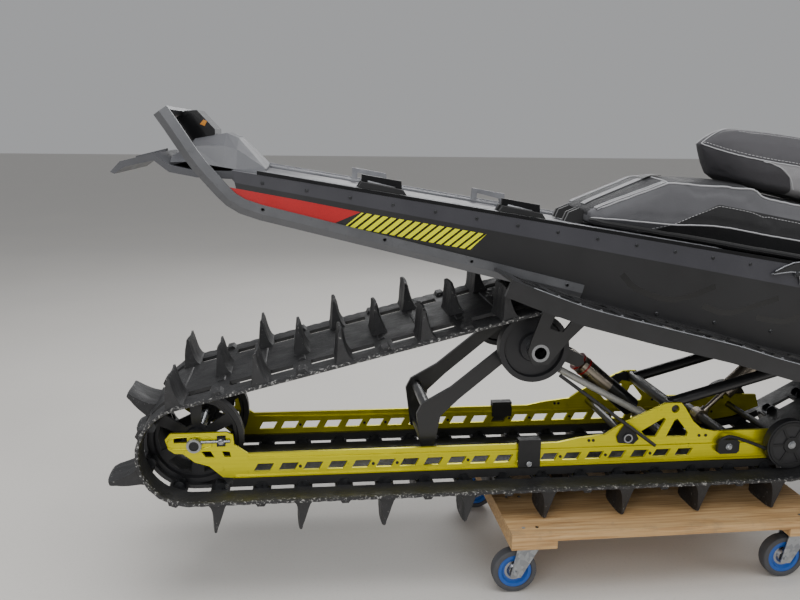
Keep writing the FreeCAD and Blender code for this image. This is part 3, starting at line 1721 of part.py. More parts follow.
def ski_section(x, keel, half, edge, y):
    """A ski's cross-section: a keel below, raised edges and a channel on top."""
    points = [
        (0, keel),
        (14, keel),
        (24, keel + 9),
        (half, keel + 11),
        (half, keel + edge),
        (half - 9, keel + edge),
        (half - 16, keel + 16),
        (20, keel + 16),
        (14, keel + 9),
        (0, keel + 9),
    ]
    return [corner + FreeCAD.Vector(0, float(y), 0) for corner in section(x, points)]


def make_ski(side, sign):
    y = sign * d.ski_y
    blade = loft(
        [
            ski_section(float(d.ski_bolt_x) + x, keel, float(d.ski_half) * share, edge, y)
            for x, keel, share, edge in SKI
        ]
    )
    ear = outline([(-70, 21), (70, 21), (22, 85), (15, 101), (-15, 101), (-22, 85)])
    ears = []
    for low, high in ((27, 33), (-33, -27)):
        piece = across(ear, float(y) + low, float(y) + high)
        ears.append(piece.translated(FreeCAD.Vector(float(d.ski_bolt_x), 0, 0)))
    bolt = Part.makeCylinder(
        float(d.ski_bolt),
        84,
        FreeCAD.Vector(float(d.ski_bolt_x), float(y) - 42, float(d.ski_bolt_z)),
        FreeCAD.Vector(0, 1, 0),
    )
    return finish(solid(f"ski_{side}_shape", blade.multiFuse(ears + [bolt])), f"ski_{side}")


def make_ski_extras(side, sign):
    """The wear bar under the keel and the bent-tube loop at the tip."""
    y = sign * d.ski_y
    low = d.ski_bolt_x - 300
    high = d.ski_bolt_x + 250
    finish(
        group(
            f"runner_{side}_set",
            [box(f"runner_{side}_bar", (low, high), (y - 5, y + 5), (0.0, 10 - d.seat_gap))],
        ),
        f"ski_runner_{side}",
    )
    loop = [(d.ski_bolt_x + ahead, y, z) for ahead, z in SKI_LOOP]
    finish(joined(f"loop_{side}_set", tube_run(f"loop_{side}", 8.0, loop)), f"ski_loop_{side}")


# Bent-tube loop at a ski's tip: ahead of the bolt, above the floor.
SKI_LOOP = [(455, 103.2), (466, 176), (506, 226), (558, 222), (556, 204), (540, 193)]

for side, sign in SIDES:
    make_spindle(side, sign)
    make_tie_rod(side, sign)
    make_ski(side, sign)
    make_ski_extras(side, sign)


# Steering post, handlebar and what is on it.
arm_away = FreeCAD.Vector(-post_axis.z, 0, post_axis.x)
pitman_end = vector(post_foot) + arm_away * 110
post_length = (vector(post_head) - vector(post_foot)).Length
bar_points = [
    on_post(post_length + 22),
    (d.post_head_x - 5, 105, d.post_head_z + 44),
    (d.post_head_x - 45, d.bar_half, d.post_head_z + 52),
]
handlebar = [
    rod("post_bar", d.post_radius, post_foot, post_head),
    rod("post_collar", 20.0, on_post(post_length - 30), on_post(post_length + 30)),
]
handlebar += tube_pair("bar_tube", d.bar_radius, bar_points)
handlebar += [
    rod(f"pitman_{side}", 9.0, post_foot, (pitman_end.x, sign * d.tie_inner_y, pitman_end.z + 14))
    for side, sign in SIDES
]
finish(joined("handlebar_set", handlebar), "handlebar")

controls = []
for side, sign in SIDES:
    knee = vector(on_side(sign, bar_points[1]))
    tip = vector(on_side(sign, bar_points[2]))
    along = (tip - knee).normalize()
    start = tip - along * float(d.grip_length)
    sleeve = rod(f"grip_{side}_sleeve", d.grip_radius, tuple(start), tuple(tip + along * 4))
    block = rod(f"block_{side}", 24.0, tuple(start - along * 48), tuple(start - along * 2))
    lever = rod(
        f"lever_{side}",
        5.0,
        tuple(start - along * 30 + FreeCAD.Vector(18, 0, -4)),
        tuple(tip - along * 20 + FreeCAD.Vector(52, 0, -8)),
    )
    bore = rod(f"grip_{side}_bore", d.bar_radius + d.pin_gap, tuple(knee), tuple(tip + along * 0.3))
    controls.append(less(f"control_{side}", joined(f"control_{side}_solid", [sleeve, block, lever]), bore))
finish(group("control_pair", controls), "bar_controls")


# Dolly: a board on two battens, and four swivel casters.
d.deck_front = d.deck_rear + d.deck_length
half_deck = d.deck_width / 2
finish(
    group(
        "deck_set",
        [
            box(
                "deck_board_block",
                (d.deck_rear, d.deck_front),
                (-half_deck, half_deck),
                (d.deck_height - d.deck_board, d.deck_height),
            )
        ],
    ),
    "dolly_deck",
)
batten_zs = (d.deck_under, d.deck_height - d.deck_board)
deck_ys = (-half_deck, half_deck)
finish(
    group(
        "batten_set",
        [
            box("batten_rear", (d.deck_rear, d.deck_rear + d.batten_width), deck_ys, batten_zs),
            box("batten_front", (d.deck_front - d.batten_width, d.deck_front), deck_ys, batten_zs),
        ],
    ),
    "dolly_battens",
)

d.plate_foot = d.deck_under - d.caster_plate
d.crown_top = d.caster_radius * 2 + 10
d.crown_foot = d.crown_top - 4
caster_spots = [
    (f"{end}_{side}", x, sign * d.caster_track / 2)
    for end, x in (("rear", d.deck_rear + d.caster_inset), ("front", d.deck_front - d.caster_inset))
    for side, sign in SIDES
]
plates = []
for name, x, y in caster_spots:
    pad = box(f"caster_pad_{name}", (x - 42, x + 42), (y - 42, y + 42), (d.plate_foot, d.deck_under))
    head = rod(f"caster_head_{name}", 27.0, (x, y, d.crown_top + d.seat_gap), (x, y, d.plate_foot + 1))
    plates.append(joined(f"caster_top_{name}", [pad, head]))
finish(group("caster_plate_set", plates), "caster_plates")

for name, x, y in caster_spots:
    wheel_x = x - d.caster_trail
    half = d.caster_width / 2
    cheek = [
        (wheel_x - 12, d.caster_radius - 12),
        (wheel_x + 12, d.caster_radius - 12),
        (x + 24, d.crown_top),
        (x - 26, d.crown_top),
    ]
    cheeks = [
        plate(f"cheek_{name}_{word}", cheek, (y + low, y + low + 3))
        for word, low in (("left", d.caster_width / 2 + 2), ("right", -d.caster_width / 2 - 5))
    ]
    crown = rod(f"crown_{name}", 26.0, (x, y, d.crown_foot), (x, y, d.crown_top))
    pin = axle(f"caster_pin_{name}", d.caster_axle, wheel_x, d.caster_radius, (y - half - 8, y + half + 8))
    finish(joined(f"caster_fork_{name}_set", cheeks + [crown, pin]), f"caster_fork_{name}")
    finish(
        wheel(
            f"caster_wheel_{name}_disc",
            d.caster_radius,
            d.caster_axle + d.pin_gap,
            d.caster_width,
            y,
            wheel_x,
            d.caster_radius,
        ),
        f"caster_wheel_{name}",
    )


doc.recompute()

for thing in doc.Objects:
    if "Invalid" in thing.State or "Error" in thing.State:
        raise RuntimeError(f"{thing.Name} didn't build: {thing.State}")
for thing in finished:
    if thing.Shape.isNull() or not thing.Shape.isValid():
        raise RuntimeError(f"{thing.Label} has no valid shape")

os.makedirs("parts", exist_ok=True)
for thing in finished:
    thing.Shape.exportStep(os.path.join("parts", thing.Label + ".step"))
    size = thing.Shape.BoundBox
    print(
        f"{thing.Label:24s} solids {len(thing.Shape.Solids):2d}  volume {thing.Shape.Volume / 1e6:8.3f} l  "
        f"x {size.XMin:8.1f} {size.XMax:8.1f}  y {size.YMin:7.1f} {size.YMax:7.1f}  z {size.ZMin:7.1f} {size.ZMax:7.1f}"
    )
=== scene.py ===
import math

import bmesh
import bpy
import numpy as np
from mathutils import Matrix, Vector
from mathutils.bvhtree import BVHTree


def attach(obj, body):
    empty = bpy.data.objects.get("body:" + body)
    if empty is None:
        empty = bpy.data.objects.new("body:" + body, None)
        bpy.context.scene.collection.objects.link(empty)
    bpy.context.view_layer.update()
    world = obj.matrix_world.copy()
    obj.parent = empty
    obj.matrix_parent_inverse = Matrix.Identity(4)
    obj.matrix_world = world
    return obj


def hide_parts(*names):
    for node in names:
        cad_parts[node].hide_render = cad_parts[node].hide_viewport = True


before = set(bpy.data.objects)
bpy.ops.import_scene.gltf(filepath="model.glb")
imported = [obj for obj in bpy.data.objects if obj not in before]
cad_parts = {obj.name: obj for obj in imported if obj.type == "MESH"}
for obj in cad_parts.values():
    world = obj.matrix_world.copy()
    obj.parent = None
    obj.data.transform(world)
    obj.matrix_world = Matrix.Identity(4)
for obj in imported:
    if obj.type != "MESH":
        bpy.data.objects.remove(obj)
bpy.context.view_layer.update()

bl_info = {
    "name": "Snowmobile on a dolly",
    "version": (1, 0, 0),
    "blender": (4, 5, 0),
    "location": "3D View > Sidebar > Snowmobile",
    "description": "Dresses the rear of a mountain snowmobile: track, wheels, seat, trim and finishes",
    "category": "Object",
}

# Millimetres ahead of the place just before the rear axle become metres about the whole part's middle.
AHEAD = -1362.7
SIDES = (1, -1)
CREASE = math.radians(35)
FINISH = {}


def at(points):
    """Points in millimetres (ahead of the rear axle, left, up) as metres in the frame."""
    return (np.asarray(points, float) + (AHEAD, 0.0, 0.0)) / 1000.0


def back(points):
    """Points in metres in the frame as millimetres ahead of the rear axle, left and up."""
    return np.asarray(points, float) * 1000 - (AHEAD, 0.0, 0.0)


def unit(start, end):
    """The direction from one place to another, one long."""
    step = np.subtract(end, start).astype(float)
    return step / np.linalg.norm(step)


def square_to(line):
    """Two directions square to a line and to each other."""
    across = np.cross(line, (1.0, 0.0, 0.0))
    across /= np.linalg.norm(across)
    return across, np.cross(line, across)


# Surfaces. Each is a pair: points, and a list of arrays of faces.


def skin(loops, ring=False):
    """Faces over a grid whose rows are closed loops: face (i, j) joins points j and j+1 of loops i and i+1.
    Flat faces close the first and last loop, or the last loop is joined on to the first."""
    loops = np.asarray(loops, float)
    rows, count = loops.shape[:2]
    i = np.arange(rows if ring else rows - 1)[:, None]
    j = np.arange(count)[None, :]
    corners = ((i, j), (i, j + 1), (i + 1, j + 1), (i + 1, j))
    quads = np.stack([(row % rows) * count + column % count for row, column in corners], axis=-1)
    faces = [quads.reshape(-1, 4)]
    if not ring:
        faces.append(np.array([np.arange(count)[::-1], (rows - 1) * count + np.arange(count)]))
    return loops.reshape(-1, 3), faces


def skins(stacks):
    """Several skins at once, an array of loops for each: the faces of the first, moved on by its points."""
    stacks = np.asarray(stacks, float)
    _, faces = skin(stacks[0])
    steps = np.arange(len(stacks))[:, None, None] * stacks.shape[1] * stacks.shape[2]
    return stacks.reshape(-1, 3), [(steps + array[None]).reshape(-1, array.shape[1]) for array in faces]


def slab(outline, low, high):
    """A side outline of (x, z) points made solid between two distances from the middle."""
    x, z = np.asarray(outline, float).T
    return skin(at([np.stack([x, 0 * x + y, z], axis=-1) for y in (low, high)]))


def plate(outline, side, near, far):
    """A side outline made solid between two distances out from the middle, on one side of the machine."""
    return slab(outline, side * near, side * far)


def turned(profile, centre, count=48):
    """A closed profile of (across, radius) points turned about an axis across the machine:
    x is the centre's plus radius times cosine, z the centre's plus radius times sine."""
    across, radius = np.asarray(profile, float).T[:, None, :]
    angles = np.linspace(0, 2 * math.pi, count, endpoint=False)[:, None]
    x, y, z = radius * np.cos(angles), across + 0 * angles, radius * np.sin(angles)
    return skin(at(np.stack([x, y, z], axis=-1) + centre), ring=True)


def collar(centre, side, height, foot, top, count=32):
    """A ring raised on a face that looks out to one side: its inner and outer radius at foot and at top."""
    low, high = side * 0.1, side * height
    return turned([(low, foot[0]), (low, foot[1]), (high, top[1]), (high, top[0])], centre, count)


def circle(radius, count=12):
    """Points of a circle: radius times cosine and sine of even steps."""
    turn = np.linspace(0, 2 * math.pi, count, endpoint=False)
    return np.stack([radius * np.cos(turn), radius * np.sin(turn)], axis=-1)


def carried(path, profile, closed=False):
    """A closed profile of (sideways, up) points carried along a path, its up as near upright as it can be."""
    path, profile = np.asarray(path, float), np.asarray(profile, float)
    if closed:
        ahead = np.roll(path, -1, axis=0) - np.roll(path, 1, axis=0)
    else:
        ahead = np.gradient(path, axis=0)
    ahead /= np.linalg.norm(ahead, axis=1)[:, None]
    upright = np.where(np.abs(ahead[:, 2:3]) > 0.94, [[1.0, 0.0, 0.0]], [[0.0, 0.0, 1.0]])
    sideways = np.cross(ahead, upright)
    sideways /= np.linalg.norm(sideways, axis=1)[:, None]
    up = np.cross(sideways, ahead)
    loops = path[:, None] + sideways[:, None] * profile[None, :, 0:1] + up[:, None] * profile[None, :, 1:2]
    return skin(at(loops), ring=closed)


def ribbon(half, thick):
    """The profile of a flat band: its half width and its thickness."""
    return [(-half, 0), (half, 0), (half, thick), (-half, thick)]


def tube(path, radius, count=12, closed=False):
    """A circle carried along a path."""
    return carried(path, circle(radius, count), closed)


def rounded(points, steps=6, closed=False):
    """A smooth line through points: each span is the cubic that leaves and reaches its ends
    along the line from the point before to the point after."""
    points = np.asarray(points, float)
    if closed:
        before, start, after, last = (np.roll(points, shift, axis=0) for shift in (1, 0, -1, -2))
    else:
        padded = np.concatenate([2 * points[:1] - points[1:2], points, 2 * points[-1:] - points[-2:-1]])
        before, start, after, last = padded[:-3], padded[1:-2], padded[2:-1], padded[3:]
    t = np.linspace(0, 1, steps, endpoint=False)[None, :, None]
    a, b, c, e = (group[:, None, :] for group in (before, start, after, last))
    spans = 0.5 * (2 * b + (c - a) * t + (2 * a - 5 * b + 4 * c - e) * t**2 + (3 * b - a - 3 * c + e) * t**3)
    line = spans.reshape(-1, points.shape[1])
    return line if closed else np.concatenate([line, points[-1:]])


def heads(spots, y, side, radius, height, corners=18):
    """Bolt or rivet heads at (x, z) places on a face that looks out to one side, each on a thin washer."""
    thick = 1.2
    washer, head = circle(radius * 1.35, 18), circle(radius, corners)
    made = []
    for x, z in spots:
        for ring, start, end in ((washer, 0.0, thick), (head, thick, height)):
            loops = []
            for out, share in ((start, 1.0), (end, 1.0), (end + 0.6, 0.86)):
                u, v = share * ring.T
                loops.append(np.stack([x + u, 0 * u + y + side * out, z + v], axis=-1))
            made.append(skin(at(loops)))
    return made


def band_round(start, end, first, last, radius):
    """A short cylinder round a line from one place to another, between two distances from its start."""
    along = unit(start, end)
    return tube([start + along * first, start + along * last], radius, 32)


def coil(start, end, first, last, radius, wire, turns):
    """A spring: a wire that turns round a line between two distances from its start."""
    along = unit(start, end)
    across, other = square_to(along)
    share = np.linspace(0, 1, int(turns * 18) + 1)[:, None]
    turn = share * turns * 2 * math.pi
    path = start + along * (first + (last - first) * share)
    return tube(path + radius * (across * np.cos(turn) + other * np.sin(turn)), wire, 8)


def raised(centre, outward, profile, count=32):
    """A round form on a skin: each row of the profile is a height out of the skin and a radius."""
    across, other = square_to(outward)
    u, v = circle(1.0, count).T[:, :, None]
    ring = across * u + other * v
    outward = np.asarray(outward, float)
    return skin(at([centre + outward * height + radius * ring for height, radius in profile]))


def tunnel_top(x):
    """Height of the tunnel's sloping top."""
    return 918.0 - (np.asarray(x, float) - 93.0) * 253.0 / 1547.0


def sloped(x_low, x_high, below, above):
    """A side outline that follows the tunnel's top between two places."""
    ends = np.array([x_low, x_high, x_high, x_low], float)
    return np.stack([ends, tunnel_top(ends) + [below, below, above, above]], -1)


def struck(name, start, heading):
    """Where a line from a start, in millimetres, first meets a piece, and which way its skin faces."""
    piece = bpy.data.objects[name]
    turn = piece.matrix_world
    inverse = turn.inverted()
    tree = BVHTree.FromObject(piece, bpy.context.evaluated_depsgraph_get())
    origin = inverse @ Vector(at(start))
    place, normal, _, _ = tree.ray_cast(origin, (inverse.to_3x3() @ Vector(heading)).normalized())
    if place is None:
        place, normal, _, _ = tree.find_nearest(origin)
    outward = np.array((turn.to_3x3() @ normal).normalized())
    if outward @ np.array(heading, float) > 0:
        outward = -outward
    return back(turn @ place), outward


def face_outward(mesh):
    """Turns every face to look out of its closed form."""
    shape = bmesh.new()
    shape.from_mesh(mesh)
    bmesh.ops.recalc_face_normals(shape, faces=shape.faces)
    shape.to_mesh(mesh)
    shape.free()


def store(mesh, name, values):
    """Keeps a number for each point of a mesh, for its material to read."""
    kept = mesh.attributes.new(name, "FLOAT", "POINT")
    kept.data.foreach_set("value", values.astype(np.float32).ravel())


def make_piece(name, parts, body="root", stands_for=(), bevel=0.0, wear=None):
    """One object from surfaces: parts gives the surfaces of each finish by name. It rides on a body."""
    points, faces, kinds, start = [], [], [], 0
    for kind, surfaces in enumerate(parts.values()):
        for surface_points, surface_faces in surfaces:
            points.append(surface_points)
            for array in surface_faces:
                faces.append(array + start)
                kinds.append(np.full(len(array), kind, np.int32))
            start += len(surface_points)
    mesh = bpy.data.meshes.new(name)
    mesh.vertices.add(start)
    mesh.vertices.foreach_set("co", np.concatenate(points).astype(np.float32).ravel())
    sizes = np.concatenate([np.full(len(array), array.shape[1]) for array in faces])
    corners = np.concatenate([array.ravel() for array in faces])
    mesh.loops.add(len(corners))
    mesh.loops.foreach_set("vertex_index", corners.astype(np.int32))
    mesh.polygons.add(len(sizes))
    mesh.polygons.foreach_set("loop_start", (np.cumsum(sizes) - sizes).astype(np.int32))
    for finish in parts:
        mesh.materials.append(FINISH[finish])
    mesh.polygons.foreach_set("material_index", np.concatenate(kinds))
    mesh.update(calc_edges=True)
    if wear is not None:
        store(mesh, "wear", wear)
    face_outward(mesh)
    mesh.shade_smooth()
    mesh.set_sharp_from_angle(angle=CREASE)
    piece = bpy.data.objects.new(name, mesh)
    bpy.context.collection.objects.link(piece)
    if bevel:
        edge = piece.modifiers.new("edges", "BEVEL")
        edge.width = bevel / 1000
        edge.segments = 2
        edge.limit_method = "ANGLE"
        edge.angle_limit = CREASE
        edge.harden_normals = True
    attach(piece, body)
    if stands_for:
        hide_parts(*stands_for)
    return piece


# Materials.


def linear(hex_colour):
    """A display colour such as #8040ff as linear light, each channel by the display's power curve."""
    channels = [int(hex_colour[i : i + 2], 16) / 255 for i in (1, 3, 5)]
    return (*(c / 12.92 if c <= 0.04045 else ((c + 0.055) / 1.055) ** 2.4 for c in channels), 1.0)


def add(tree, kind, values=None, links=None, ramp=None, **settings):
    """Adds a node: settings are its own properties, values its sockets' numbers, links what feeds them."""
    made = tree.nodes.new(kind)
    for name, setting in settings.items():
        setattr(made, name, setting)
    for name, number in (values or {}).items():
        made.inputs[name].default_value = number
    for name, source in (links or {}).items():
        tree.links.new(source, made.inputs[name])
    if ramp:
        elements = made.color_ramp.elements
        while len(elements) < len(ramp):
            elements.new(0.5)
        for element, (position, colour) in zip(elements, ramp):
            element.position = position
            element.color = colour
    return made


class Look:
    """A material in the making. Sizes are in millimetres. Patterns are drawn from the place on the object."""

    def __init__(self, name, **values):
        self.name = name
        self.material = bpy.data.materials.new(name)
        self.material.use_nodes = True
        self.tree = self.material.node_tree
        self.shader = self.tree.nodes["Principled BSDF"]
        for socket, value in values.items():
            self.shader.inputs[socket.replace("_", " ")].default_value = value
        self.place = add(self.tree, "ShaderNodeTexCoord").outputs["Object"]

    def patches(self, size, detail=3.0, rough=0.55, stretch=(1, 1, 1), distort=0.0):
        """Soft patches of a size, from 0 to 1, drawn out along an axis whose stretch is less than 1."""
        moved = add(self.tree, "ShaderNodeMapping", {"Scale": stretch}, {"Vector": self.place}).outputs[0]
        values = {"Scale": 1000 / size, "Detail": detail, "Roughness": rough, "Distortion": distort}
        return add(self.tree, "ShaderNodeTexNoise", values, {"Vector": moved}).outputs["Fac"]

    def cells(self, size, feature):
        """Cells of a size."""
        values = {"Scale": 1000 / size}
        return add(self.tree, "ShaderNodeTexVoronoi", values, {"Vector": self.place}, feature=feature).outputs

    def stored(self, attribute):
        """A value stored at the mesh's points."""
        return add(self.tree, "ShaderNodeAttribute", attribute_name=attribute).outputs["Fac"]

    def axes(self):
        """The place's three parts, in metres."""
        return add(self.tree, "ShaderNodeSeparateXYZ", {}, {"Vector": self.place}).outputs

    def scaled_sum(self, first, times, second):
        """The first value times a number, plus the second value."""
        links = {0: first, 2: second}
        return add(self.tree, "ShaderNodeMath", {1: times}, links, operation="MULTIPLY_ADD").outputs[0]

    def between(self, factor, low, high, from_low=0.3, from_high=0.7):
        """A factor's range carried over to another range, and held at its ends."""
        values = {"From Min": from_low, "From Max": from_high, "To Min": low, "To Max": high}
        return add(self.tree, "ShaderNodeMapRange", values, {"Value": factor}).outputs[0]

    def blend(self, factor, first, second):
        """Two colours, or the links that carry them, mixed by a factor."""
        values, links = {}, {0: factor}
        for index, colour in ((6, first), (7, second)):
            if isinstance(colour, str):
                values[index] = linear(colour)
            else:
                links[index] = colour
        return add(self.tree, "ShaderNodeMix", values, links, data_type="RGBA").outputs[2]

    def over(self, base, colour, most, factor, low, high):
        """A colour laid over a base where a factor passes a range, at most by a share."""
        return self.blend(self.between(factor, 0.0, most, low, high), base, colour)

    def done(self, colour, gloss, *reliefs):
        """Joins the colour, the roughness as (factor, low, high) and each relief as (height, depth)."""
        if colour is not None:
            self.tree.links.new(colour, self.shader.inputs["Base Color"])
        self.tree.links.new(self.between(*gloss), self.shader.inputs["Roughness"])
        normal = {}
        for height, depth in reliefs:
            values = {"Strength": 1.0, "Distance": depth / 1000}
            relief = add(self.tree, "ShaderNodeBump", values, {"Height": height, **normal}).outputs[0]
            normal = {"Normal": relief}
        for name, source in normal.items():
            self.tree.links.new(source, self.shader.inputs[name])
        FINISH[self.name] = self.material
        return self.material


def track_rubber():
    """Moulded natural rubber, black and semi-matt, its flanks scuffed pale by the floor and by grit."""
    look = Look("track_rubber", IOR=1.52)
    cloud = look.patches(45, detail=5.0)
    base = look.blend(cloud, "#161617", "#2a2a2c")
    base = look.over(base, "#3f3f40", 0.4, look.patches(18, detail=6.0, rough=0.75), 0.52, 0.80)
    chipped = look.scaled_sum(look.stored("wear"), 0.13, look.patches(6, detail=6.0, rough=0.7))
    base = look.over(base, "#a9a8a5", 0.9, chipped, 0.68, 0.74)
    coarse = look.patches(14, detail=4.0, rough=0.7)
    look.done(base, (cloud, 0.42, 0.66), (look.patches(3.0), 0.5), (coarse, 1.6))


def rail_yellow():
    """Extruded and milled aluminium, anodised yellow: satin metal with faint draw lines along its length."""
    look = Look("rail_yellow", Metallic=0.82, Specular_IOR_Level=0.5)
    cloud = look.patches(60)
    lines = look.patches(2.5, detail=2.0, stretch=(0.02, 1, 1))
    base = look.over(look.blend(cloud, "#cfc716", "#eae324"), "#a99c10", 0.22, lines, 0.3, 0.7)
    base = look.over(base, "#5c5616", 0.5, look.patches(22, detail=6.0, rough=0.7), 0.60, 0.78)
    look.done(base, (cloud, 0.28, 0.42), (lines, 0.05))


def tunnel_coat():
    """Aluminium sheet in a dark satin powder coat: a slate band along the top edge, black below it."""
    look = Look("tunnel_coat", IOR=1.5, Coat_Weight=0.25, Coat_Roughness=0.3)
    cloud = look.patches(120, detail=4.0)
    # The border falls with the tunnel as it runs ahead. Its height is in metres.
    level = look.scaled_sum(look.axes()[0], 0.1843, look.axes()[2])
    slate = look.blend(cloud, "#2c2c31", "#3a3a40")
    black = look.blend(cloud, "#131314", "#1e1e20")
    base = look.blend(look.between(level, 0.0, 1.0, 0.6615, 0.6625), black, slate)
    base = look.over(base, "#77777a", 0.5, look.patches(5, detail=4.0, rough=0.8), 0.74, 0.82)
    look.done(base, (cloud, 0.30, 0.44), (look.patches(1.6, detail=1.0), 0.04))


def hatch_vinyl():
    """Cut vinyl film: diagonal stripes of signal yellow on the black coat, 12 mm from one to the next."""
    look = Look("hatch_vinyl", IOR=1.46, Specular_IOR_Level=0.15)
    values = {"Rotation": (0.0, math.radians(-52), 0.0)}
    slanted = add(look.tree, "ShaderNodeMapping", values, {"Vector": look.place}).outputs[0]
    values = {"Scale": 314.0 / 12, "Distortion": 0.0, "Detail": 0.0}
    wave = add(look.tree, "ShaderNodeTexWave", values, {"Vector": slanted}, bands_direction="X")
    stripes = look.between(wave.outputs["Fac"], 0.0, 1.0, 0.25, 0.31)
    cloud = look.patches(30)
    look.done(look.blend(stripes, "#161617", look.blend(cloud, "#cccd00", "#dfe004")), (cloud, 0.5, 0.62))


def stripe_vinyl():
    """Cut vinyl film in red with a fine metal flake under a clear face."""
    look = Look("stripe_vinyl", IOR=1.46, Coat_Weight=0.4, Coat_Roughness=0.25)
    look.done(look.blend(look.patches(2.0, detail=2.0), "#8a070b", "#bb0e15"), (look.patches(50), 0.35, 0.5))


def strip_alloy():
    """Rolled aluminium, bead-blasted and clear anodised: an even satin grey with rubbed places."""
    look = Look("strip_alloy", Metallic=0.75)
    cloud = look.patches(80, detail=5.0)
    rubbed = look.patches(12, detail=6.0, rough=0.75)
    base = look.over(look.blend(cloud, "#56575a", "#717275"), "#454547", 0.6, rubbed, 0.58, 0.76)
    look.done(base, (cloud, 0.38, 0.52), (look.patches(1.2, detail=1.0), 0.05))


def coated_cloth(name, light, dark, weave, panels):
    """Coated seat cloth: a fine leather-like grain pressed into a soft sheet, with a dull sheen. Each panel
    is (attribute, lighter, darker). It covers the places where the stored distance past its seam is above
    zero."""
    look = Look(name, IOR=1.42, Specular_IOR_Level=0.35, Sheen_Weight=0.04)
    cloud = look.patches(90, detail=4.0)
    base = look.blend(cloud, dark, light)
    for attribute, panel_light, panel_dark in panels:
        past = look.between(look.stored(attribute), 0.0, 1.0, -0.5, 0.5)
        base = look.blend(past, base, look.blend(cloud, panel_dark, panel_light))
    grain = look.between(look.cells(weave, "DISTANCE_TO_EDGE")["Distance"], 0.0, 1.0, 0.0, 0.25)
    look.done(base, (cloud, 0.58, 0.74), (grain, 0.18), (look.patches(70, detail=2.0), 2.0))


def seat_cloths():
    """Coated cloth in greys: the seat with darker sides and pale panels, the pod's foot and top black."""
    seat_panels = [("side", "#3f3e41", "#2e2d30"), ("pale", "#8d8c8e", "#757476")]
    coated_cloth("seat_cloth", "#434245", "#333235", 1.4, seat_panels)
    pod_panels = [("low", "#1d1d1f", "#131314"), ("top", "#19191d", "#101013")]
    coated_cloth("cover_cloth", "#58585b", "#414144", 2.2, pod_panels)


def pine_board():
    """Sawn pine board, raw and handled: long growth lines 7 mm apart along it, paler and darker planks,
    a few knots, and grey scuffs."""
    look = Look("pine_board", IOR=1.5)
    streaks = look.patches(7, detail=4.0, stretch=(0.05, 1, 1), distort=0.6)
    ramp = [(0.3, linear("#9a7448")), (0.5, linear("#b99464")), (0.72, linear("#cbaa7c"))]
    tone = add(look.tree, "ShaderNodeValToRGB", {}, {"Fac": streaks}, ramp).outputs[0]
    knots = look.between(look.cells(210, "F1")["Distance"], 1.0, 0.0, 0.03, 0.06)
    base = look.blend(knots, tone, "#5e3f22")
    base = look.over(base, "#7d6f5c", 0.5, look.patches(60, detail=6.0, rough=0.7), 0.55, 0.75)
    look.done(base, (streaks, 0.6, 0.8), (streaks, 0.5))


def galvanised():
    """Hot-dip galvanised sheet steel: zinc crystals about 9 mm across, dulled by handling."""
    look = Look("galvanised", Metallic=0.9)
    tint = add(look.tree, "ShaderNodeSeparateColor", {}, {"Color": look.cells(9, "F1")["Color"]}).outputs
    base = look.blend(tint[0], "#8f9296", "#b4b7ba")
    look.done(base, (tint[1], 0.3, 0.48, 0.0, 1.0), (look.patches(2.0), 0.05))


def anchor_paint():
    """Cast aluminium anchors, painted: black on the right of the machine, silver-grey on the left."""
    look = Look("anchor_paint", Metallic=0.6)
    cloud = look.patches(30)
    left = look.between(look.axes()[1], 0.0, 1.0, -0.001, 0.001)
    base = look.blend(left, "#19191b", look.blend(cloud, "#7e7f83", "#9b9ca0"))
    look.done(base, (cloud, 0.31, 0.45), (look.patches(1.3, detail=2.0), 0.06))


def pale_floor():
    """Sealed pale concrete: a plain sheet with faint cloudy tone and fine aggregate."""
    look = Look("pale_floor", IOR=1.45)
    cloud = look.patches(900, detail=4.0)
    base = look.blend(cloud, "#c2bfba", "#d0cdc8")
    base = look.over(base, "#aaa7a2", 0.25, look.patches(6, detail=2.0), 0.55, 0.75)
    return look.done(base, (cloud, 0.5, 0.62))


def clear_plastic(name, tint, roughness):
    """Moulded polycarbonate sheet: clear or smoked, it lets light through and shows its edges."""
    look = Look(name, IOR=1.58, Transmission_Weight=0.85, Base_Color=linear(tint))
    wave = look.patches(60)
    look.done(None, (wave, roughness, roughness + 0.05), (wave, 0.1))


def plain_finish(name, light, dark, patch, grain, depth, roughness, spread, values):
    """Two near colours in patches, a fine grain, and gloss that changes with the patches."""
    look = Look(name, **values)
    cloud = look.patches(patch)
    fine = look.patches(grain, detail=2.0)
    look.done(look.blend(cloud, dark, light), (cloud, roughness - spread, roughness + spread), (fine, depth))


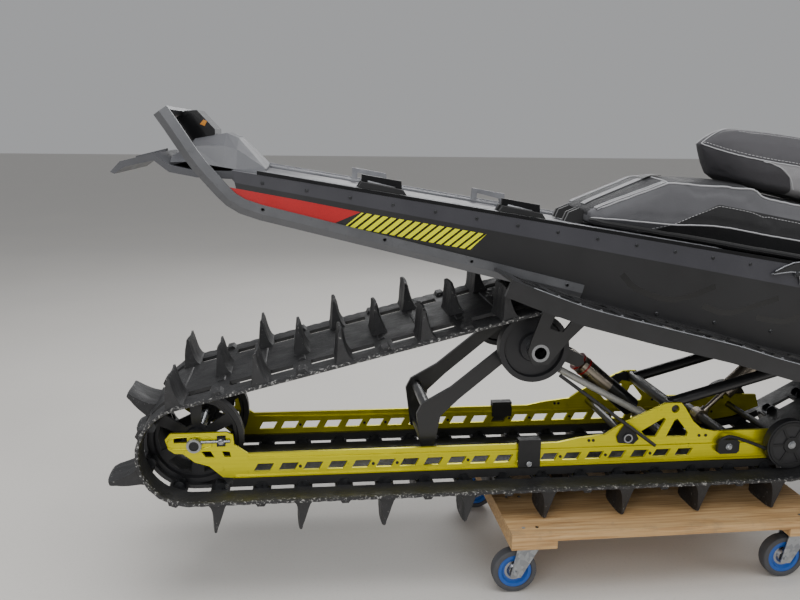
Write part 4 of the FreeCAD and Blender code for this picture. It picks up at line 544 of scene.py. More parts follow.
PLAIN_FINISHES = [
    # name, lighter and darker colour, patch, grain and grain depth, roughness and its spread, shader values
    # Polyethylene wear strip, black with graphite: waxy, dull where it runs.
    ("slide_plastic", "#1b1b1c", "#101011", 25, 2.0, 0.10, 0.55, 0.10, {"IOR": 1.51}),
    # Glass-filled nylon wheels, moulded: fine even grain, half matt.
    ("wheel_nylon", "#232326", "#17171a", 30, 1.2, 0.06, 0.48, 0.08, {"IOR": 1.53}),
    # Turned and zinc-plated steel: bright, cool, with fine tool marks.
    ("bright_steel", "#a9abae", "#8b8d90", 20, 1.0, 0.04, 0.28, 0.08, {"Metallic": 1.0}),
    # Steel tube in a satin black powder coat: slight orange peel.
    ("arm_coat", "#222224", "#161617", 40, 2.5, 0.10, 0.36, 0.07, {"IOR": 1.5, "Coat_Weight": 0.2}),
    # Hard-anodised aluminium, warm grey like bronze.
    ("shock_bronze", "#b5ab9d", "#93897c", 30, 1.5, 0.03, 0.30, 0.06, {"Metallic": 1.0}),
    # Satin anodised aluminium rod, pale silver.
    ("rod_alloy", "#bdbcb8", "#a1a09c", 30, 1.3, 0.03, 0.45, 0.06, {"Metallic": 0.35}),
    # Painted band on a damper, enamel red.
    ("band_red", "#b01317", "#8d0d10", 20, 1.5, 0.03, 0.32, 0.05, {"IOR": 1.5, "Coat_Weight": 0.4}),
    # Copolymer housing moulded in grey with a sand grain.
    ("tail_grey", "#4d4e52", "#3e3f43", 50, 1.3, 0.12, 0.50, 0.07, {"IOR": 1.49}),
    # Glossy black acrylic.
    ("lamp_black", "#0e0e10", "#080809", 40, 3.0, 0.02, 0.14, 0.05, {"IOR": 1.49, "Coat_Weight": 0.5}),
    # Rotomoulded polyethylene tank: slightly wavy, half matt.
    ("tank_black", "#202023", "#151517", 60, 8.0, 0.30, 0.44, 0.08, {"IOR": 1.51}),
    # Cast aluminium, shot-blasted.
    ("engine_alloy", "#77787a", "#5b5c5e", 35, 1.8, 0.20, 0.50, 0.08, {"Metallic": 0.9}),
    # Injection-moulded polypropylene body panels, black, satin with a soft haze.
    ("panel_black", "#1a1a1d", "#101012", 90, 1.4, 0.04, 0.26, 0.06, {"IOR": 1.5, "Coat_Weight": 0.35}),
    # Impact-modified ski plastic, black and waxy.
    ("ski_plastic", "#1d1d1f", "#121213", 50, 2.0, 0.10, 0.42, 0.08, {"IOR": 1.51}),
    # Worn carbide-steel runner bar.
    ("runner_steel", "#8a8b8d", "#5e5f61", 18, 1.2, 0.06, 0.34, 0.10, {"Metallic": 1.0}),
    # Rubber-dipped loops, and the moulded rubber of grips: matt black.
    ("loop_black", "#1c1c1d", "#121213", 20, 1.5, 0.10, 0.62, 0.06, {"IOR": 1.52}),
    ("grip_rubber", "#191919", "#0f0f10", 12, 1.2, 0.15, 0.66, 0.06, {"IOR": 1.52}),
    # Caster: grey thermoplastic rubber tyre, blue nylon rim, pressed zinc hub.
    ("caster_tyre", "#4e4f53", "#3b3c40", 18, 1.5, 0.10, 0.60, 0.08, {"IOR": 1.52}),
    ("caster_blue", "#1f5fb8", "#174a96", 25, 1.2, 0.04, 0.34, 0.06, {"IOR": 1.53}),
    ("caster_hub", "#b9babd", "#97989b", 15, 1.2, 0.03, 0.30, 0.06, {"Metallic": 1.0}),
    # Woven nylon strap in black and in grey, and light grey polyester thread and piping.
    ("strap_web", "#1a1a1b", "#0e0e0f", 8, 1.6, 0.30, 0.72, 0.05, {"IOR": 1.5, "Sheen_Weight": 0.3}),
    ("cover_web", "#77777a", "#5d5d60", 14, 1.4, 0.20, 0.68, 0.05, {"IOR": 1.5, "Sheen_Weight": 0.3}),
    ("thread_grey", "#b5b5b6", "#8f8f91", 10, 1.0, 0.05, 0.60, 0.05, {"IOR": 1.5, "Sheen_Weight": 0.3}),
    ("piping_grey", "#a2a2a4", "#87878a", 10, 1.0, 0.12, 0.62, 0.05, {"IOR": 1.5, "Sheen_Weight": 0.3}),
    # Cast aluminium, painted silver-grey.
    ("anchor_silver", "#9b9ca0", "#7e7f83", 30, 1.3, 0.06, 0.38, 0.07, {"Metallic": 0.7}),
    # Moulded acrylic lenses.
    ("lens_red", "#a5080c", "#7c0508", 20, 4.0, 0.10, 0.16, 0.04, {"IOR": 1.49, "Coat_Weight": 0.5}),
    ("lens_amber", "#d28a1c", "#a8650f", 12, 4.0, 0.10, 0.20, 0.04, {"IOR": 1.49, "Coat_Weight": 0.5}),
    # Quarter-turn fasteners of the panels, dark zinc.
    ("lip_dark", "#3d3d40", "#2b2b2e", 40, 1.5, 0.06, 0.46, 0.07, {"Metallic": 0.5}),
    # Sprung steel clips and rivets, black oxide rubbed bright on top.
    ("clip_steel", "#5d5e60", "#2f3032", 9, 1.2, 0.05, 0.36, 0.10, {"Metallic": 1.0}),
]

# The solids that keep their shape, by the material that they take.
NODE_FINISHES = {
    "rail_yellow": "rail_left rail_right",
    "slide_plastic": "slide_shoes",
    "wheel_nylon": "rear_wheels rail_wheels carrier_wheels",
    "bright_steel": "rear_axle carrier_shaft drive_shaft tie_rod_left tie_rod_right",
    "arm_coat": "rail_cross_shafts carrier_brackets rear_arm front_arm front_arms handlebar nose_bumper"
    " spindle_left spindle_right bulkhead running_boards",
    "shock_bronze": "rear_shock centre_shock front_shocks",
    "tunnel_coat": "tunnel",
    "strip_alloy": "bumper_rail",
    "anchor_paint": "cargo_mounts",
    "tail_grey": "tail_housing snow_flap dash",
    "lamp_black": "tail_lamp",
    "tank_black": "fuel_tank",
    "engine_alloy": "engine_block",
    "panel_black": "hood side_panels belly_pan",
    "ski_plastic": "ski_left ski_right",
    "runner_steel": "ski_runner_left ski_runner_right",
    "loop_black": "ski_loop_left ski_loop_right",
    "grip_rubber": "bar_controls",
    "pine_board": "dolly_deck dolly_battens",
    "galvanised": "caster_plates caster_fork_rear_left caster_fork_rear_right"
    " caster_fork_front_left caster_fork_front_right",
    "lens_clear": "headlamps",
    "screen_smoke": "windshield",
}


class TrackSizes(bpy.types.PropertyGroup):
    pitch: bpy.props.FloatProperty(
        name="Pitch", description="Distance from one row of lugs to the next",
        default=0.0889, min=0.02, unit="LENGTH",
    )
    lug_height: bpy.props.FloatProperty(
        name="Lug height", description="Height of a lug above the belt",
        default=0.067, min=0.01, unit="LENGTH",
    )
    lug_lean: bpy.props.FloatProperty(
        name="Lug lean", description="How far a lug's tip leans back", default=0.006, min=0.0, unit="LENGTH"
    )
    window_length: bpy.props.FloatProperty(
        name="Window length", description="Length of a window in the belt",
        default=0.050, min=0.0, unit="LENGTH",
    )


class SoftSizes(bpy.types.PropertyGroup):
    voxel: bpy.props.FloatProperty(
        name="Voxel", description="Mesh size of the padded pieces", default=0.005, min=0.003, unit="LENGTH"
    )
    pressure: bpy.props.FloatProperty(
        name="Pressure", description="How hard the padding pushes", default=4.0, min=0.0
    )
    swell: bpy.props.FloatProperty(
        name="Swell", description="Most that a point of the cover may move",
        default=0.004, min=0.0, unit="LENGTH",
    )


class StageLook(bpy.types.PropertyGroup):
    key: bpy.props.FloatProperty(
        name="Key light", description="Power of the large overhead light",
        default=150.0, min=0.0, unit="POWER",
    )
    fill: bpy.props.FloatProperty(
        name="Fill light", description="Power of the side light", default=70.0, min=0.0, unit="POWER"
    )
    sky: bpy.props.FloatProperty(
        name="Surround", description="Brightness of the surround", default=0.55, min=0.0
    )


# The camera that the photograph was taken with: place in metres, turn in radians.
CAMERA = {"place": (-1.1393, -1.7994, 0.9963), "yaw": 0.122, "pitch": 0.206, "roll": 0.012, "lens": 36.54}


class SNOWMOBILE_OT_stage(bpy.types.Operator):
    """Makes the camera, the plain floor and the soft lights"""

    bl_idname = "snowmobile.stage"
    bl_label = "Stage"

    def execute(self, context):
        look = context.scene.snowmobile_stage
        yaw, pitch, roll = CAMERA["yaw"], CAMERA["pitch"], CAMERA["roll"]
        ahead = Vector((math.sin(yaw) * math.cos(pitch), math.cos(yaw) * math.cos(pitch), -math.sin(pitch)))
        level = Vector((math.cos(yaw), -math.sin(yaw), 0.0))
        above = level.cross(ahead)
        right = level * math.cos(roll) + above * math.sin(roll)
        up = above * math.cos(roll) - level * math.sin(roll)
        camera = bpy.data.objects.new("camera", bpy.data.cameras.new("camera"))
        camera.data.lens = CAMERA["lens"]
        camera.data.sensor_width = 36.0
        camera.data.clip_end = 200.0
        turn = Matrix((right, up, -ahead)).transposed().to_4x4()
        camera.matrix_world = Matrix.Translation(CAMERA["place"]) @ turn
        context.collection.objects.link(camera)
        context.scene.camera = camera

        floor = bpy.data.meshes.new("floor")
        floor.from_pydata([(-30, -30, 0), (30, -30, 0), (30, 30, 0), (-30, 30, 0)], [], [(0, 1, 2, 3)])
        floor.materials.append(pale_floor())
        ground = bpy.data.objects.new("floor", floor)
        context.collection.objects.link(ground)

        lights = [
            # name, power, size along and across, place, aimed at
            ("light_over", look.key, (4.5, 3.0), (-0.6, -0.6, 3.4), (-0.3, 0.0, 0.6)),
            ("light_side", look.fill, (2.6, 1.8), (-2.6, -3.6, 2.2), (-0.6, 0.0, 0.6)),
            ("light_back", look.fill * 0.8, (3.0, 1.2), (0.6, 3.4, 2.4), (-0.2, 0.0, 0.6)),
            ("light_nose", look.fill * 0.6, (2.0, 1.6), (3.6, -2.0, 2.0), (0.8, 0.0, 0.5)),
        ]
        for name, power, size, place, aim in lights:
            lamp = bpy.data.lights.new(name, "AREA")
            lamp.shape = "RECTANGLE"
            lamp.size, lamp.size_y = size
            lamp.energy = power
            held = bpy.data.objects.new(name, lamp)
            heading = Vector(aim) - Vector(place)
            turn = heading.to_track_quat("-Z", "Y").to_matrix().to_4x4()
            held.matrix_world = Matrix.Translation(place) @ turn
            context.collection.objects.link(held)
        world = bpy.data.worlds.new("surround")
        world.use_nodes = True
        world.node_tree.nodes["Background"].inputs["Color"].default_value = linear("#d9dadc")
        world.node_tree.nodes["Background"].inputs["Strength"].default_value = look.sky
        context.scene.world = world
        return {"FINISHED"}


class SNOWMOBILE_OT_finishes(bpy.types.Operator):
    """Makes the materials and lays them on the solids that keep their shape"""

    bl_idname = "snowmobile.finishes"
    bl_label = "Finishes"

    def execute(self, context):
        makers = (track_rubber, rail_yellow, tunnel_coat, hatch_vinyl, stripe_vinyl, strip_alloy, seat_cloths)
        for make in makers + (pine_board, galvanised, anchor_paint):
            make()
        for row in PLAIN_FINISHES:
            plain_finish(*row)
        clear_plastic("lens_clear", "#dfe5ea", 0.03)
        clear_plastic("screen_smoke", "#3a3a3e", 0.05)
        for material, nodes in NODE_FINISHES.items():
            for name in nodes.split():
                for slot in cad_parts[name].material_slots:
                    slot.material = FINISH[material]
        return {"FINISHED"}


# The belt's middle line is led anticlockwise round these circles: x, z and radius in millimetres.
BELT_CIRCLES = [(-9.0, 337.0, 106.0), (1290.0, 581.0, 350.0), (1597.33, 460.0, 99.04), (715.0, 544.0, 81.0)]
BELT_HALF = 4.0
BELT_EDGE = 203.0
ROW_COUNT = 44
LUG_START = 51.0
# The windows lie between these two distances from the middle.
WINDOW_IN, WINDOW_OUT = 111, 145


def belt_line(along):
    """Points and outward angles on the belt's middle line: arcs round the circles, joined by the straight
    runs that touch both circles, measured from where the line leaves the rear axle's circle below it."""
    circles = BELT_CIRCLES
    leaving = []
    for (x0, z0, r0), (x1, z1, r1) in zip(circles, circles[1:] + circles[:1]):
        heading = math.atan2(z1 - z0, x1 - x0)
        leaving.append(heading - math.acos((r0 - r1) / math.hypot(x1 - x0, z1 - z0)))
    runs = []
    for i, (x, z, r) in enumerate(circles):
        angle = leaving[i]
        x1, z1, r1 = circles[(i + 1) % 4]
        start = (x + r * math.cos(angle), z + r * math.sin(angle))
        end = (x1 + r1 * math.cos(angle), z1 + r1 * math.sin(angle))
        runs.append(("line", start, end, angle, math.dist(start, end)))
        sweep = (leaving[(i + 1) % 4] - angle) % (2 * math.pi)
        runs.append(("arc", (x1, z1), r1, angle, r1 * sweep))
    total = sum(run[4] for run in runs)
    along = np.asarray(along, float) % total
    x, z, angle = np.zeros_like(along), np.zeros_like(along), np.zeros_like(along)
    passed = 0.0
    for kind, first, second, turn, length in runs:
        here = (along >= passed) & (along <= passed + length)
        share = (along[here] - passed) / length
        if kind == "line":
            x[here] = first[0] + (second[0] - first[0]) * share
            z[here] = first[1] + (second[1] - first[1]) * share
            angle[here] = turn
        else:
            angle[here] = turn + share * length / second
            x[here] = first[0] + second * np.cos(angle[here])
            z[here] = first[1] + second * np.sin(angle[here])
        passed += length
    return x, z, angle, total


def on_belt(along, across, out):
    """Points set out from the belt's middle line along its normal, at a distance across the machine."""
    along, across, out = np.broadcast_arrays(along, across, out)
    x, z, angle, _ = belt_line(along)
    return at(np.stack([x + out * np.cos(angle), across, z + out * np.sin(angle)], axis=-1))


def belt_skin(pitch, window):
    """The belt as two grids, outer and inner, over (along, across), with the windows' cells left out and
    walls round each window and along both edges. The outer face rises in low ribs beside the lugs."""
    steps = np.array([-0.5, -0.44, -0.37]) * pitch
    marks = np.array([-window / 2, -window / 4, 0.0, window / 4, window / 2])
    one_row = np.concatenate([steps, marks, -steps[::-1][:2]])
    rows = np.arange(ROW_COUNT)[:, None] * pitch
    along = (LUG_START - pitch / 2 + rows + one_row[None, :]).ravel()
    flat = 199
    half = [0, 26, 52, 70, 84, 98, WINDOW_IN, 128, WINDOW_OUT, 156, 168, 180, 192, flat, BELT_EDGE]
    half = np.array(half, float)
    across = np.concatenate([-half[:0:-1], half])
    phase = np.abs(((along - LUG_START) / pitch + 0.5) % 1.0 - 0.5) * pitch
    edge = np.clip((np.abs(across) - flat) / (BELT_EDGE - flat), 0, 1)
    ribs = 1.6 * np.cos(phase[:, None] / 9.0) ** 2 * (np.abs(across)[None, :] > 150) * (phase[:, None] < 40)
    outer = on_belt(along[:, None], across[None, :], BELT_HALF + ribs - 1.5 * edge[None, :])
    inner = on_belt(along[:, None], across[None, :], -BELT_HALF + 1.5 * edge[None, :])
    n, m = len(along), len(across)
    middles = (np.abs(across[1:]) + np.abs(across[:-1])) / 2
    at_hole = (np.arange(n) % len(one_row) >= 3) & (np.arange(n) % len(one_row) < 7)
    open_cell = at_hole[:, None] & ((middles > WINDOW_IN) & (middles < WINDOW_OUT))[None, :]
    i, j = np.nonzero(~open_cell)
    k = (i + 1) % n

    def index(row, column, side):
        return side * n * m + row * m + column

    def wall(row, column, next_row, next_column):
        """Faces from the outer to the inner grid along the line between two points of the grid."""
        ends = ((row, column, 0), (next_row, next_column, 0), (next_row, next_column, 1), (row, column, 1))
        return np.stack([index(*end) for end in ends], -1)

    faces = [
        np.stack([index(i, j, 0), index(i, j + 1, 0), index(k, j + 1, 0), index(k, j, 0)], -1),
        np.stack([index(i, j, 1), index(k, j, 1), index(k, j + 1, 1), index(i, j + 1, 1)], -1),
    ]
    row = np.arange(n)
    for column in (0, m - 1):
        faces.append(wall(row, column, (row + 1) % n, column))
    i, j = np.nonzero(open_cell != np.roll(open_cell, 1, axis=0))
    faces.append(wall(i, j, i, j + 1))
    i, j = np.nonzero(open_cell[:, 1:] != open_cell[:, :-1])
    faces.append(wall(i, j + 1, (i + 1) % n, j + 1))
    wear = np.clip((np.abs(across) - 185) / 15, 0, 1)[None, :] * np.ones((n, 1))
    return (np.concatenate([outer.reshape(-1, 3), inner.reshape(-1, 3)]), faces), np.tile(wear.ravel(), 2)


def lug_skins(starts, low, high, height, lean):
    """Lugs over (across, round the outline). At a share s of the height the half thickness is the tip's,
    plus 14 mm times (1 - s) to the power 0.9, plus a root fillet of 4 mm times (1 - s) to the power 9. The
    tip leans back, and the paddle is cupped."""
    tip, root = 2.2, -2.0
    share = np.array([0.0, 0.05, 0.12, 0.28, 0.46, 0.66, 0.84, 0.95, 1.0])
    half = tip + 14.0 * (1 - share) ** 0.9 + 4.0 * (1 - share) ** 9
    middle = -lean * share**1.6
    rise = np.concatenate([share, share[::-1]])
    along = np.concatenate([middle + half, (middle - half * (1 - 0.18 * np.sin(share * math.pi)))[::-1]])
    station = np.linspace(-1, 1, 9)[:, None]
    reach = (high - low) / 2
    top = height * (1 - 0.05 * station**6 - 0.035 * (1 - station**2))
    out = BELT_HALF + root + rise[None, :] * (top - root)
    across = (low + high) / 2 + station * reach * (1 - 0.07 * rise[None, :] ** 1.5)
    cup = -4.0 * (1 - station**2) * rise[None, :]
    ribs = 1.2 * np.cos(station * math.pi * 3) * (rise[None, :] > 0.05) * (rise[None, :] < 0.9)
    ahead = along[None, :] + cup + ribs * np.sign(along)[None, :]
    points = on_belt(np.asarray(starts)[:, None, None] + ahead[None], across[None], out[None])
    wear = np.broadcast_to(0.15 + 0.55 * rise[None, None, :] ** 3, points.shape[:3])
    return skins(points), wear.ravel()


def belt_blocks(starts, profile, low, high):
    """Blocks on the belt: a closed outline of (along, out) points between two distances across."""
    profile = np.asarray(profile, float)
    along = np.asarray(starts, float)[:, None, None] + profile[None, None, :, 0]
    across = np.array([low, high])[None, :, None]
    return skins(on_belt(along, across, profile[None, None, :, 1]))


class SNOWMOBILE_OT_track(bpy.types.Operator):
    """Makes the rubber belt with its windows, lugs, ribs and steel clips"""

    bl_idname = "snowmobile.track"
    bl_label = "Track"

    def execute(self, context):
        sizes = context.scene.snowmobile_track
        total = float(belt_line(np.zeros(1))[3])
        if abs(total - ROW_COUNT * sizes.pitch * 1000) > 1.0:
            raise ValueError("the pitch doesn't fit the belt's length")
        pitch = total / ROW_COUNT
        height, lean = sizes.lug_height * 1000, sizes.lug_lean * 1000
        belt, wear = belt_skin(pitch, sizes.window_length * 1000)
        surfaces, wears = [belt], [wear]
        rows = LUG_START + np.arange(ROW_COUNT) * pitch
        even, odd = rows[::2], rows[1::2]
        for starts, low, high in ((even, 98, 199), (even, -199, -98), (odd, -52, 52)):
            lugs, worn = lug_skins(starts, low, high, height, lean)
            surfaces.append(lugs)
            wears.append(worn)
        # Low cross ribs on the belt, and stubs where a row has no lug.
        rib = [(-9, 3), (9, 3), (6, 7), (-6, 7)]
        stub = [(-13, 3), (13, 3), (7, 12), (-7, 12)]
        for starts, low, high, outline in (
            (even, -80, 80, rib),
            (odd, 64, 96, rib),
            (odd, -96, -64, rib),
            (odd, 158, 196, stub),
            (odd, -196, -158, stub),
        ):
            surfaces.append(belt_blocks(starts, outline, low, high))
            wears.append(np.full(len(surfaces[-1][0]), 0.55))
        # Steel clips: a plate round the belt between two windows, with an ear turned up beside the shoe.
        clips = []
        clip = [(-15, -4), (15, -4), (14, -6.2), (4, -8.6), (-4, -8.6), (-14, -6.2)]
        ear = [(-13, -4), (13, -4), (11, -14), (6, -19), (-6, -19), (-11, -14)]
        bands = ((clip, 115.8, 140.2), (ear, 138.9, 140.4), (ear, 115.6, 117.1))
        for side in SIDES:
            for outline, low, high in bands:
                clips.append(belt_blocks(rows, outline, side * low, side * high))
                wears.append(np.full(len(clips[-1][0]), 0.0))
        make_piece(
            "track_belt",
            {"track_rubber": surfaces, "clip_steel": clips},
            stands_for=["track"],
            wear=np.concatenate(wears),
        )
        return {"FINISHED"}


# Casters: corner, swivel axis ahead of the rear axle and to the left, in millimetres.
CASTERS = [
    ("rear_left", 708, 205),
    ("rear_right", 708, -205),
    ("front_left", 1340, 205),
    ("front_right", 1340, -205),
]


class SNOWMOBILE_OT_casters(bpy.types.Operator):
    """Makes the four caster wheels: grey tyre, blue rim and pressed hub"""

    bl_idname = "snowmobile.casters"
    bl_label = "Caster wheels"

    def execute(self, context):
        trail, axle_height = 29, 50
        # Half of each profile, to the middle plane.
        tyre = [(-11, 37), (-14, 39), (-14, 45), (-12, 48.5), (-7, 50)]
        rim = [(-11, 37.2), (-11.5, 30), (-6, 27), (-6, 22)]
        hub = [(-6, 22.2), (-6.5, 17), (-12.5, 13), (-12.5, 5.2)]
        rings = (("caster_tyre", tyre, 56), ("caster_blue", rim, 56), ("caster_hub", hub, 40))
        for corner, x, y in CASTERS:
            parts = {}
            for finish, half, count in rings:
                whole = half + [(-across, radius) for across, radius in reversed(half)]
                parts[finish] = [turned(whole, (x - trail, y, axle_height), count)]
            make_piece(
                f"caster_{corner}",
                parts,
                body=f"wheel_{corner}",
                stands_for=[f"caster_wheel_{corner}"],
            )
        return {"FINISHED"}


def padded_cover(name, surface, sizes, swell_share=1.0):
    """A closed form made even small squares, blown up by cloth under pressure, and held near its form."""
    points, faces = surface
    mesh = bpy.data.meshes.new(name + "_form")
    mesh.from_pydata(points.tolist(), [], [face.tolist() for array in faces for face in array])
    form = bpy.data.objects.new(name, mesh)
    bpy.context.collection.objects.link(form)
    face_outward(mesh)
    remesh = form.modifiers.new("even", "REMESH")
    remesh.mode = "VOXEL"
    remesh.voxel_size = sizes.voxel
    soften = form.modifiers.new("soften", "SMOOTH")
    soften.factor = 0.5
    soften.iterations = 2
    form.data = applied(form)
    form.modifiers.clear()
    still = read_points(form.data)
    cloth = form.modifiers.new("cloth", "CLOTH")
    cloth.settings.use_pressure = True
    cloth.settings.uniform_pressure_force = sizes.pressure
    cloth.settings.effector_weights.gravity = 0.0
    cloth.settings.quality = 4
    cloth.settings.mass = 0.3
    scene = bpy.context.scene
    for number in range(1, 21):
        scene.frame_set(number)
    form.data = applied(form)
    form.modifiers.clear()
    moved = read_points(form.data)
    step = moved - still
    length = np.linalg.norm(step, axis=1)[:, None]
    cap = sizes.swell * swell_share
    step = step / np.maximum(length, 1e-9) * cap * np.tanh(length / cap)
    form.data.vertices.foreach_set("co", (still + step).astype(np.float32).ravel())
    scene.frame_set(1)
    form.data.update()
    return form


def applied(piece):
    """The piece's mesh with its modifiers worked in."""
    graph = bpy.context.evaluated_depsgraph_get()
    return bpy.data.meshes.new_from_object(piece.evaluated_get(graph), depsgraph=graph)


def read_points(mesh):
    """The places of a mesh's points."""
    points = np.zeros(len(mesh.vertices) * 3, np.float32)
    mesh.vertices.foreach_get("co", points)
    return points.reshape(-1, 3).astype(float)


def laid_on(piece, path, lift):
    """A line of points in millimetres moved to the nearest place on a piece, then out by a lift."""
    tree = BVHTree.FromObject(piece, bpy.context.evaluated_depsgraph_get())
    laid = []
    for point in at(path):
        place, normal, _, _ = tree.find_nearest(Vector(point))
        laid.append(back(place + normal * lift / 1000))
    return np.array(laid)


def mark(piece, rules):
    """Stores a value for each point of a piece under each name, by its rule of x, y and z in millimetres."""
    x, y, z = back(read_points(piece.data)).T
    for name, rule in rules.items():
        store(piece.data, name, rule(x, y, z))
    piece.data.shade_smooth()


def thread(path, long=5.0, gap=3.0):
    """Stitches along a path: short thin tubes of even length with even gaps."""
    steps = np.linalg.norm(np.diff(path, axis=0), axis=1)
    distance = np.concatenate([[0.0], np.cumsum(steps)])
    starts = np.arange(gap, distance[-1] - long, long + gap)
    spots = np.stack([starts, starts + long], axis=-1)
    ends = np.stack([np.interp(spots, distance, path[:, i]) for i in range(3)], axis=-1)
    return [tube(pair, 0.6, 5) for pair in ends]


SEAT_SECTIONS = [
    # x at the foot, low, shoulder, crest, half width, lean of the tail
    (1151, 905, 975, 978, 14, 25),
    (1174, 898, 962, 994, 52, 20),
    (1200, 890, 951, 1006, 84, 12),
    (1240, 880, 941, 1003, 106, 4),
    (1311, 866, 929, 995, 117, 0),
    (1400, 846, 917, 983, 118, 0),
    (1500, 825, 909, 972, 117, 0),
    (1590, 806, 901, 964, 104, 0),
    (1638, 798, 896, 959, 94, 0),
]


def seat_loops():
    """Loops of the cushion: low middle, low edge, waist, shoulder, upper bend and crest, right then left.
    Each point leans back by the section's lean times its share of the height up to the shoulder."""
    x, low, shoulder, crest, wide, lean = rounded(np.array(SEAT_SECTIONS, float), 5).T
    waist = low * 0.45 + shoulder * 0.55
    half = [(0.5 + 0 * x, low), (wide * 0.84, low), (wide * 0.95, low * 0.8 + waist * 0.2), (wide, waist)]
    half += [(wide * 0.98, shoulder), (wide * 0.72, shoulder * 0.42 + crest * 0.58), (wide * 0.4, crest - 4)]
    half += [(0.5 + 0 * x, crest)]
    leant = [x - lean * np.clip((z - low) / (shoulder - low), 0, 1) for y, z in half]
    right = [np.stack([u, -y, z], -1) for u, (y, z) in zip(leant, half)]
    left = [np.stack([u, y, z], -1) for u, (y, z) in reversed(list(zip(leant, half)))]
    return np.stack(right + left, axis=1)


class SNOWMOBILE_OT_seat(bpy.types.Operator):
    """Makes the padded seat with its piping and stitching"""

    bl_idname = "snowmobile.seat"
    bl_label = "Seat"

    def execute(self, context):
        sizes = context.scene.snowmobile_soft
        form = padded_cover("seat_cover", skin(at(seat_loops())), sizes)
        smooth = form.modifiers.new("round", "SUBSURF")
        smooth.levels = smooth.render_levels = 1
        foot, _, shoulder, crest, wide, lean = np.array(SEAT_SECTIONS, float).T

        def below_crease(x, y, z):
            return np.interp(x, foot - lean, shoulder) - z

        def past_curve(x, y, z):
            curve = np.interp(z, [866, 905, 930, 942], [1303, 1290, 1262, 1227])
            return np.minimum(below_crease(x, y, z), x - curve)

        mark(form, {"side": below_crease, "pale": past_curve})
        form.data.materials.append(FINISH["seat_cloth"])
        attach(form, "root")
        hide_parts("seat")
        seams, stitches = [], []
        for side in SIDES:
            crease = np.stack([foot - lean, side * wide, shoulder], axis=-1)
            tail = [(1126, side * 13, 977), (1154, side * 9, 994), (1192, side * 2, 1006)]
            drop = [(x, side * 118, z) for x, z in ((1227, 942), (1262, 930), (1290, 905), (1303, 872))]
            ridge = np.stack([foot, side * wide * 0.44, crest - 4], axis=-1)[2:]
            for line in (crease, drop, tail):
                seams.append(tube(laid_on(form, rounded(line, 10), 0.3), 1.3, 8))
            stitches.extend(thread(laid_on(form, rounded(ridge, 12), 0.2)))
            beside = laid_on(form, rounded(crease, 12), 0.5) + (0.0, 0.0, 7.0)
            stitches.extend(thread(laid_on(form, beside, 0.5)))
        make_piece("seat_stitches", {"thread_grey": stitches})
        make_piece("seat_piping", {"piping_grey": seams})
        return {"FINISHED"}


# The pod cover under the seat: side outline corners, each with its half width, in millimetres.
POD_SECTIONS = [
    # x, foot, foot half width, ledge height and half width, shoulder height and half width, top
    (846, 803, 84, 814, 96, 826, 92, 829),
    (872, 796, 98, 814, 110, 838, 97, 841),
    (1012, 773, 119, 804, 139, 892, 112, 899),
    (1120, 756, 124, 800, 144, 887, 120, 896),
    (1205, 741, 127, 786, 147, 880, 122, 889),
    (1232, 737, 128, 781, 147, 862, 122, 872),
    (1311, 724, 128, 768, 148, 846, 122, 855),
    (1500, 693, 128, 736, 148, 806, 122, 818),
    (1636, 671, 126, 712, 145, 778, 118, 790),
]


# Height of the border between the pod's dark low panel and its side, above the ledge, at places ahead.
PEAKS = ([930, 1008, 1121, 1304, 1636], [-40, -4, 47, 44, 30])


def pod_loops():
    """Loops of ten corners, one from each of the pod's sections: the right half from below, then the left."""
    x, foot, foot_wide, ledge, ledge_wide, shoulder, shoulder_wide, top = np.array(POD_SECTIONS, float).T
    half = [(0.5, foot), (foot_wide, foot), (ledge_wide, ledge), (shoulder_wide, shoulder), (0.5, top)]
    right = [np.stack([x, -np.broadcast_to(y, x.shape), z], -1) for y, z in half]
    left = [np.stack([x, np.broadcast_to(y, x.shape), z], -1) for y, z in reversed(half)]
    return np.stack(right + left, axis=1)


